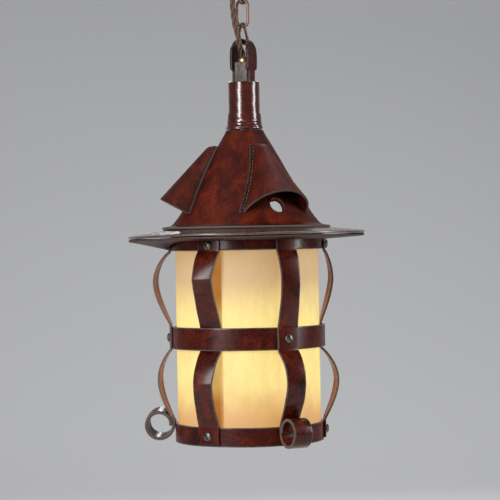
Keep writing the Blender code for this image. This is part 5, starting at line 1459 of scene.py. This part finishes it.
def make_screws():
    """Slotted heads outside, and shanks that reach as far in as the frame's own screws."""
    rows = {
        "screw_top": (OVER_TOP, STRAPS_A, TOP_SCREW_HEIGHT),
        "screw_mid": (OVER_MID, STRAPS_B, MID_SCREW_HEIGHT),
        "screw_low": (OVER_BOTTOM, STRAPS_A, LOW_SCREW_HEIGHT),
    }
    for row, (strap_radius, azimuths, height) in rows.items():
        seat = strap_radius + LEATHER / 2 + GAP
        for number, azimuth in enumerate(azimuths, 1):
            node = f"{row}_{number}"
            low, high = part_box(node)
            centre = (low + high) / 2
            inner = 2 * math.hypot(centre.x, centre.y) - seat - HEAD_HEIGHT
            mesh = joined([head_mesh(HEAD_RADIUS, HEAD_HEIGHT, SLOT_WIDTH), shank_mesh(seat - inner)])
            outward = Matrix.Rotation(math.radians(90), 4, "Y")
            slot = Matrix.Rotation(math.radians(SLOT_TURN * number), 4, "Z")
            lean = strap_lean(height, azimuth) / strap_radius
            turn = Matrix.Rotation(math.radians(azimuth - 90) + lean, 4, "Z")
            mesh.transform(turn @ Matrix.Translation((seat, 0.0, height + FOOT)) @ (outward @ slot))
            add_piece(node + "_steel", mesh, "dull_steel", [node], crease=40.0)


# Shade and bulb


def make_shade():
    """Rolled sheet whose end tucks in behind its start.

    The radius falls by the tuck over the 15 degrees before the sheet meets itself, and the sheet
    swells and sinks between the hoops by swell * sin(1.5 pi (v + 1)) * sin(4a + 0.7), with v from -1
    to 1 across the sheet and a the azimuth. Its tint is 1 where it lies double, and each end closes
    on the middle of its outline.
    """
    low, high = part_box("shade")
    half = (high.z - low.z) / 2
    angle = np.linspace(LAP_START, LAP_END, 400)
    azimuth = np.radians(angle)[:, None]
    tuck = smooth_step(np.clip(1.0 - (TUCK_END - angle) / TUCK_SPREAD, 0.0, 1.0))
    radius = (SHADE_RADIUS - PARCHMENT / 2 - LAP_TUCK * tuck)[:, None]
    across, outward, _ = bar_offsets(bar_section(40, 2), half, PARCHMENT / 2, PARCHMENT_ROUNDING,
                                     0.0 * angle, 1.0 + 0.0 * angle)
    bow = np.sin(np.pi * (across / half + 1) * 1.5) * SHADE_SWELL * np.sin(4 * azimuth + 0.7)
    reach = radius + outward + bow
    points = np.stack([reach * np.sin(azimuth), -reach * np.cos(azimuth), low.z + half + across], axis=-1)
    lap = np.zeros(len(angle))
    for start, end in DOUBLED:
        lap = np.maximum(lap, np.clip(np.minimum(angle - start, end - angle) / DOUBLED_FADE, 0.0, 1.0))
    ends = [end.mean(axis=1, keepdims=True) + 0 * end for end in (points[:1], points[-1:])]
    closed = np.concatenate([ends[0], points, ends[1]])
    lap = np.pad(lap, 1, mode="edge")[:, None]
    mesh = grid_mesh(closed, False, True, tint=lap)
    add_piece("parchment_shade", mesh, "parchment", ["shade"])


def make_bulb():
    """Pear-shaped bulb: a sphere that runs up into a neck."""
    sphere = arc_2d((0.0, BULB_CENTRE), BULB_RADIUS, -90, 128, 60)
    neck = [(BULB_NECK + 0.0015, BULB_CAP_FOOT - 0.0090), (BULB_NECK, BULB_CAP_FOOT - GAP)]
    smooth = eased(np.vstack([sphere, neck]), 0.0006, 0.0120)
    smooth[0, 0] = 0.0
    outline = np.vstack([smooth, [(0.0, BULB_CAP_FOOT - GAP)]])
    mesh = grid_mesh(turned(outline, 96), True, False)
    add_piece("bulb_glow", mesh, "lit_glass", ["bulb_glass"])


# Chain, flex and ceiling fitting


def upright(flat, height, turned_by):
    """Stands flat points (x, y) up at a height, in a plane turned about the vertical."""
    angle = math.radians(turned_by)
    return np.stack([flat[:, 0] * math.cos(angle), flat[:, 0] * math.sin(angle),
                     flat[:, 1] + height + FOOT], axis=-1)


def link_line():
    """Oval link: two half rounds with straight sides between them."""
    radius = (LINK_WIDTH - WIRE) / 2
    pitch = LINK_LENGTH - WIRE
    top = arc_2d((0.0, pitch - radius), radius, 0, 180, 30)
    foot = arc_2d((0.0, radius), radius, 180, 180, 30)
    return spaced(np.vstack([top, foot, top[:1]]), 0.0008)[:-1]


def delta_line():
    """Tapered link: two round lower corners and a round apex, joined by tangent lines."""
    corner = np.array((DELTA_HALF_WIDTH - DELTA_CORNER, DELTA_CORNER))
    apex_radius = WIRE + GAP
    apex = np.array((0.0, DELTA_REACH - apex_radius))
    way = apex - corner
    lean = math.atan2(-way[0], way[1]) - math.asin((apex_radius - DELTA_CORNER) / math.hypot(*way))
    lean = math.degrees(lean)
    right = arc_2d(corner, DELTA_CORNER, -90, 90 + lean, 16)
    top = arc_2d(apex, apex_radius, lean, 180 - 2 * lean, 24)
    line = np.vstack([right, top, right[::-1] * (-1.0, 1.0)])
    return spaced(np.vstack([line, line[:1]]), 0.0007)[:-1]


def make_chain():
    """Forged links of round wire, flattened by a few percent."""
    hook_seat = (WIRE + HOOK_WIRE) / 2 + GAP
    link_seat = WIRE + GAP
    pitch = LINK_LENGTH - WIRE
    links = {
        "chain_link_upper": (upright(link_line(), HOOK_BAR + hook_seat - pitch, 90), "upper_link"),
        "chain_link_lower": (upright(link_line(), UPPER_BAR + link_seat - pitch, 0), "lower_link"),
        "delta_link": (upright(delta_line(), HANG_HEIGHT, 90), "delta"),
    }
    for node, (path, body) in links.items():
        mesh = grid_mesh(swept_tube(path, WIRE / 2, 20, closed=True, flatten=LINK_FLATTEN), True, True)
        add_piece(node + "_iron", mesh, "black_iron", [node], body)


def make_hook():
    """Hook of round wire: a stem that bends at a knee into the eye."""
    eye = arc_2d((0.0, HOOK_BAR + HOOK_RADIUS), HOOK_RADIUS, HOOK_LEAN, -270, 60)
    lean = math.radians(HOOK_LEAN)
    knee = (0.0, eye[0][1] + eye[0][0] * math.cos(lean) / math.sin(lean))
    nut_foot = CUP_FOOT - GAP - CANOPY_NUT_HEIGHT
    flat = eased(np.vstack([(0.0, CEILING - 0.0042), (0.0, nut_foot - GAP), knee, eye]), FINE_STEP, 0.0045)
    mesh = grid_mesh(swept_tube(upright(flat, 0.0, 0), HOOK_WIRE / 2, 20), False, True)
    add_piece("chain_hook_iron", mesh, "black_iron", ["chain_hook"], "ceiling_fitting")


def make_cup():
    """Spun brass cup, with a hole for the flex's bush."""
    rim = CEILING - GAP
    line = [(CUP_RADIUS, rim), (CUP_RADIUS, rim - 0.0035), (CUP_RADIUS - 0.0025, CUP_FOOT + 0.0085),
            (0.0330, CUP_FOOT + 0.0022), (0.0270, CUP_FOOT), (0.0055, CUP_FOOT)]
    shell = eased(line, FINE_STEP, 0.0080)
    outline, edge = sheet_outline(shell - normals_2d(shell) * CUP_METAL / 2, CUP_METAL, 0.0012, 0.0004)
    cup = add_piece("canopy_cup_brass", grid_mesh(turned(outline, 180), True, True, edge), "aged_brass",
                    ["canopy_cup"], "ceiling_fitting")
    path = np.array([(*FLEX_ENTRY, CUP_FOOT + FOOT + rise) for rise in (-0.004, 0.0, 0.006)])
    cut_piece(cup, grid_mesh(swept_tube(path, BUSH_RADIUS + GAP, 40), False, True))


def make_canopy_nut():
    """Knurled nut under the cup: its side sinks by depth * (1 - cos 48a), with a the azimuth."""
    top, radius = CUP_FOOT - GAP, CANOPY_NUT_RADIUS
    foot = top - CANOPY_NUT_HEIGHT
    outline = [(CANOPY_NUT_BORE, top), (radius, top), (radius, top - 0.0048), (radius - 0.0003, top - 0.0056),
               (radius - 0.0010, foot), (CANOPY_NUT_BORE, foot)]

    def knurl(radius, height, azimuth):
        return radius - np.where(radius > 0.0078, KNURL_DEPTH * (1 - np.cos(48 * azimuth)), 0.0), height

    mesh = grid_mesh(turned(np.array(outline), 288, knurl), True, True)
    add_piece("canopy_nut_brass", mesh, "aged_brass", ["canopy_nut"], "ceiling_fitting", 35.0)


def flex_line():
    """Smooth curve through the route: each cubic has the slope (next - previous) / 2 at its ends."""
    points = np.array(FLEX_ROUTE)
    knots = np.vstack([2 * points[0] - points[1], points, 2 * points[-1] - points[-2]])
    share = np.linspace(0.0, 1.0, 24, endpoint=False)[:, None]
    pieces = []
    for p0, p1, p2, p3 in zip(knots, knots[1:], knots[2:], knots[3:]):
        pieces.append(0.5 * (2 * p1 + (p2 - p0) * share + (2 * p0 - 5 * p1 + 4 * p2 - p3) * share**2
                             + (3 * p1 - p0 - 3 * p2 + p3) * share**3))
    fine = np.vstack(pieces + [points[-1:]])
    fine[:, 2] += FOOT
    return spaced(fine, FLEX_STEP)


def strand_meshes(path, run, first, second):
    """Strands that wind round a path, with their UV along and round them for the braid.

    Strand k follows path + reach * (cos(a) * first + sin(a) * second), with a the turns of its run
    plus k * 120 degrees.
    """
    strand = STRAND_SHARE * FLEX_DIAMETER / 2
    reach = FLEX_DIAMETER / 2 - strand
    meshes = []
    for which in range(STRANDS):
        angle = (2 * np.pi * (run / STRAND_TURN + which / STRANDS))[:, None]
        offset = reach * (np.cos(angle) * first + np.sin(angle) * second)
        tube = swept_tube(path + offset, strand, 14)
        along = np.linspace(0.0, len(path) * FLEX_STEP, len(tube) + 1)
        round_share = np.linspace(0.0, 1.0, tube.shape[1] + 1)
        meshes.append(grid_mesh(tube, False, True, uv=(along, round_share)))
    return meshes


def make_flex():
    """Three braided strands twisted round each other, in one stretch for each hinge that they pass.

    Gives the pieces and their paths from the ceiling down.
    """
    line = flex_line()
    run = running_length(line)
    way = unit(np.gradient(line, axis=0))
    first = unit(np.cross(way, (0.0, 1.0, 0.12)))
    second = np.cross(way, first)
    splits = [float(np.interp(height + FOOT, line[:, 2], run)) for height in FLEX_SPLITS]
    marks = [run[-1], *splits, 0.0]
    pieces, paths = [], []
    for number, (upper, lower, hinge, over, under) in enumerate(FLEX_STRETCHES, 1):
        inside = np.flatnonzero((run <= marks[number - 1] + 1e-9) & (run >= marks[number] - 1e-9))[::-1]
        mesh = joined(strand_meshes(line[inside], run[inside], first[inside], second[inside]))
        body = (upper, lower, (0.0, 0.0, hinge + over + FOOT), (0.0, 0.0, hinge - under + FOOT))
        pieces.append(add_piece(f"flex_stretch_{number}", mesh, "braided_cloth", [f"flex_{number}"],
                                body))
        paths.append(line[inside])
    return pieces, paths


# Carried CAD nodes


def dress_frame():
    """Finishes of the inner pieces that keep their CAD shape."""
    looks = {
        "black_iron": ("roof_spider", "roof_hoop", "lower_hoop", "ceiling_plate"),
        "dull_steel": ("stem", "plug_nut", "spider_nut_top", "spider_nut_bottom", "loop_screw_1",
                       "loop_screw_2", "ceiling_screw_1", "ceiling_screw_2", "bulb_cap"),
        "aged_brass": ("holder_cap", "holder_body"),
        "porcelain": ("holder_core",),
        "stained_wood": ("neck_plug",),
        "braided_cloth": ("lead",),
    }
    for look, nodes in looks.items():
        for name in nodes:
            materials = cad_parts[name].data.materials
            materials.clear()
            materials.append(finishes()[look])


# Stage


def area_light(name, azimuth, elevation, distance, size, power):
    """Softbox that points at the middle of the lantern from an azimuth and elevation."""
    data = bpy.data.lights.new(name, "AREA")
    data.shape = "RECTANGLE"
    data.size, data.size_y = size
    data.energy = power
    obj = link_object(name, data)
    turn, rise = math.radians(azimuth), math.radians(elevation)
    way = Vector((math.sin(turn) * math.cos(rise), -math.cos(turn) * math.cos(rise), math.sin(rise)))
    obj.location = way * distance + Vector((0.0, 0.0, AIM_HEIGHT + FOOT))
    obj.rotation_euler = way.to_track_quat("Z", "Y").to_euler()
    obj.visible_camera = False


def make_camera():
    """Camera at the photograph's angle, aimed so that the lantern lies where it does in its frame."""
    stage = bpy.context.scene.lantern_stage
    back = Vector((math.sin(stage.azimuth), -math.cos(stage.azimuth), 0.0))
    right = Vector((math.cos(stage.azimuth), math.sin(stage.azimuth), 0.0))
    place = back * stage.distance + Vector((0.0, 0.0, stage.eye_height + FOOT))
    target = right * (SHIFT_RIGHT * PIXEL) + Vector((0.0, 0.0, stage.eye_height - SHIFT_DOWN * PIXEL + FOOT))
    data = bpy.data.cameras.new("camera")
    data.sensor_width = 36.0
    data.sensor_fit = "HORIZONTAL"
    data.angle = 2 * math.atan(HALF_WIDTH * PIXEL / stage.distance)
    obj = link_object("camera", data)
    look = (place - target).to_track_quat("Z", "Y").to_matrix()
    roll = Matrix.Rotation(-stage.roll, 3, "Z")
    obj.matrix_world = Matrix.Translation(place) @ (look @ roll).to_4x4()
    bpy.context.scene.camera = obj


def make_floor():
    """Floor that curves up by a quarter round into a backdrop behind the lantern."""
    stage = bpy.context.scene.lantern_stage
    across = np.linspace(-5.0, 5.0, 20)[None, :, None]
    flat = np.stack([np.linspace(-4.0, 2.0, 12), np.zeros(12)], axis=-1)
    curve = arc_2d((2.0, 1.6), 1.6, -90, 90, 16)[1:]
    wall = np.stack([np.full(8, 3.6), np.linspace(2.0, 5.0, 8)], axis=-1)
    line = np.vstack([flat, curve, wall])[:, None]
    right = np.array((math.cos(stage.azimuth), math.sin(stage.azimuth), 0.0))
    away = np.array((-math.sin(stage.azimuth), math.cos(stage.azimuth), 0.0))
    up = np.array((0.0, 0.0, 1.0))
    mesh = grid_mesh(across * right + line[..., :1] * away + (line[..., 1:] + FOOT - stage.floor_depth) * up)
    mesh.shade_smooth()
    mesh.materials.append(finishes()["pale_floor"])
    obj = link_object("floor", mesh)


def make_lights():
    """Softboxes round the lantern, a dim even sky, and a small warm lamp behind the shade."""
    stage = bpy.context.scene.lantern_stage
    for name, (beside, *rest) in LIGHTS.items():
        area_light(name, math.degrees(stage.azimuth) + beside, *rest)
    world = bpy.data.worlds.new("studio")
    bpy.context.scene.world = world
    world.use_nodes = True
    sky = world.node_tree.nodes["Background"]
    feed(world.node_tree, sky, {"Color": SKY_TONE, "Strength": SKY_STRENGTH})
    lamp = bpy.data.lights.new("bulb_light", "POINT")
    lamp.energy = LAMP_POWER
    lamp.color = LAMP_TONE
    lamp.shadow_soft_size = LAMP_RADIUS
    link_object("bulb_light", lamp).location = (0.0, 0.0, FOOT + LAMP_HEIGHT)


# Operators


class LANTERN_OT_roof(bpy.types.Operator):
    """Make the brim, the cone and the hoods with their stitches."""

    bl_idname = "lantern.roof"
    bl_label = "Make roof"

    def execute(self, context):
        make_brim()
        make_cone()
        make_hoods()
        return {"FINISHED"}


class LANTERN_OT_neck(bpy.types.Operator):
    """Make the neck's sleeve and cuff, the loop and the bushes."""

    bl_idname = "lantern.neck"
    bl_label = "Make neck"

    def execute(self, context):
        make_sleeve()
        make_cuff()
        make_loop()
        make_bushes()
        return {"FINISHED"}


class LANTERN_OT_body(bpy.types.Operator):
    """Make the hoops and the straps."""

    bl_idname = "lantern.body"
    bl_label = "Make body"

    def execute(self, context):
        make_rings()
        make_straps()
        return {"FINISHED"}


class LANTERN_OT_screws(bpy.types.Operator):
    """Make the binding screws."""

    bl_idname = "lantern.screws"
    bl_label = "Make screws"

    def execute(self, context):
        make_screws()
        return {"FINISHED"}


class LANTERN_OT_light(bpy.types.Operator):
    """Make the parchment shade and the bulb."""

    bl_idname = "lantern.light"
    bl_label = "Make shade and bulb"

    def execute(self, context):
        make_shade()
        make_bulb()
        return {"FINISHED"}


class LANTERN_OT_chain(bpy.types.Operator):
    """Make the chain and the ceiling fitting."""

    bl_idname = "lantern.chain"
    bl_label = "Make chain"

    def execute(self, context):
        make_chain()
        make_hook()
        make_cup()
        make_canopy_nut()
        return {"FINISHED"}


class LANTERN_OT_flex(bpy.types.Operator):
    bl_idname = "lantern.flex"
    bl_label = "Make flex"

    def execute(self, context):
        pieces, paths = make_flex()
        return {"FINISHED"}


class LANTERN_OT_inner(bpy.types.Operator):
    """Finish the inner pieces that keep the frame's shape."""

    bl_idname = "lantern.inner"
    bl_label = "Finish inner pieces"

    def execute(self, context):
        dress_frame()
        return {"FINISHED"}


class LANTERN_OT_stage(bpy.types.Operator):
    """Make the floor, the lights and the camera."""

    bl_idname = "lantern.stage"
    bl_label = "Make stage"

    def execute(self, context):
        make_floor()
        make_lights()
        make_camera()
        context.scene.view_settings.view_transform = "Standard"
        return {"FINISHED"}


STEPS = (LANTERN_OT_stage, LANTERN_OT_flex, LANTERN_OT_roof, LANTERN_OT_neck, LANTERN_OT_body,
         LANTERN_OT_screws, LANTERN_OT_light, LANTERN_OT_chain, LANTERN_OT_inner)


class LANTERN_PT_panel(bpy.types.Panel):
    """Lists the lantern's steps and settings."""

    bl_idname = "LANTERN_PT_panel"
    bl_label = "Leather lantern"
    bl_space_type = "VIEW_3D"
    bl_region_type = "UI"
    bl_category = "Lantern"

    def draw(self, context):
        for group in ("lantern_leather", "lantern_glow", "lantern_stage"):
            settings = getattr(context.scene, group)
            box = self.layout.box()
            for name in settings.__annotations__:
                box.prop(settings, name)
        for step in STEPS:
            self.layout.operator(step.bl_idname)


CLASSES = (LanternLeatherSettings, LanternGlowSettings, LanternStageSettings, *STEPS, LANTERN_PT_panel)


def register():
    """Registers the classes and hangs the settings on the scene."""
    for kind in CLASSES:
        bpy.utils.register_class(kind)
    bpy.types.Scene.lantern_leather = PointerProperty(type=LanternLeatherSettings)
    bpy.types.Scene.lantern_glow = PointerProperty(type=LanternGlowSettings)
    bpy.types.Scene.lantern_stage = PointerProperty(type=LanternStageSettings)


def unregister():
    """Takes back what register did."""
    del bpy.types.Scene.lantern_stage
    del bpy.types.Scene.lantern_glow
    del bpy.types.Scene.lantern_leather
    for kind in reversed(CLASSES):
        bpy.utils.unregister_class(kind)


def main():
    """Makes the pieces in order."""
    register()
    bpy.ops.lantern.stage()
    bpy.ops.lantern.flex()
    bpy.ops.lantern.roof()
    bpy.ops.lantern.neck()
    bpy.ops.lantern.body()
    bpy.ops.lantern.screws()
    bpy.ops.lantern.light()
    bpy.ops.lantern.chain()
    bpy.ops.lantern.inner()
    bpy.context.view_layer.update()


if __name__ == "__main__":
    main()
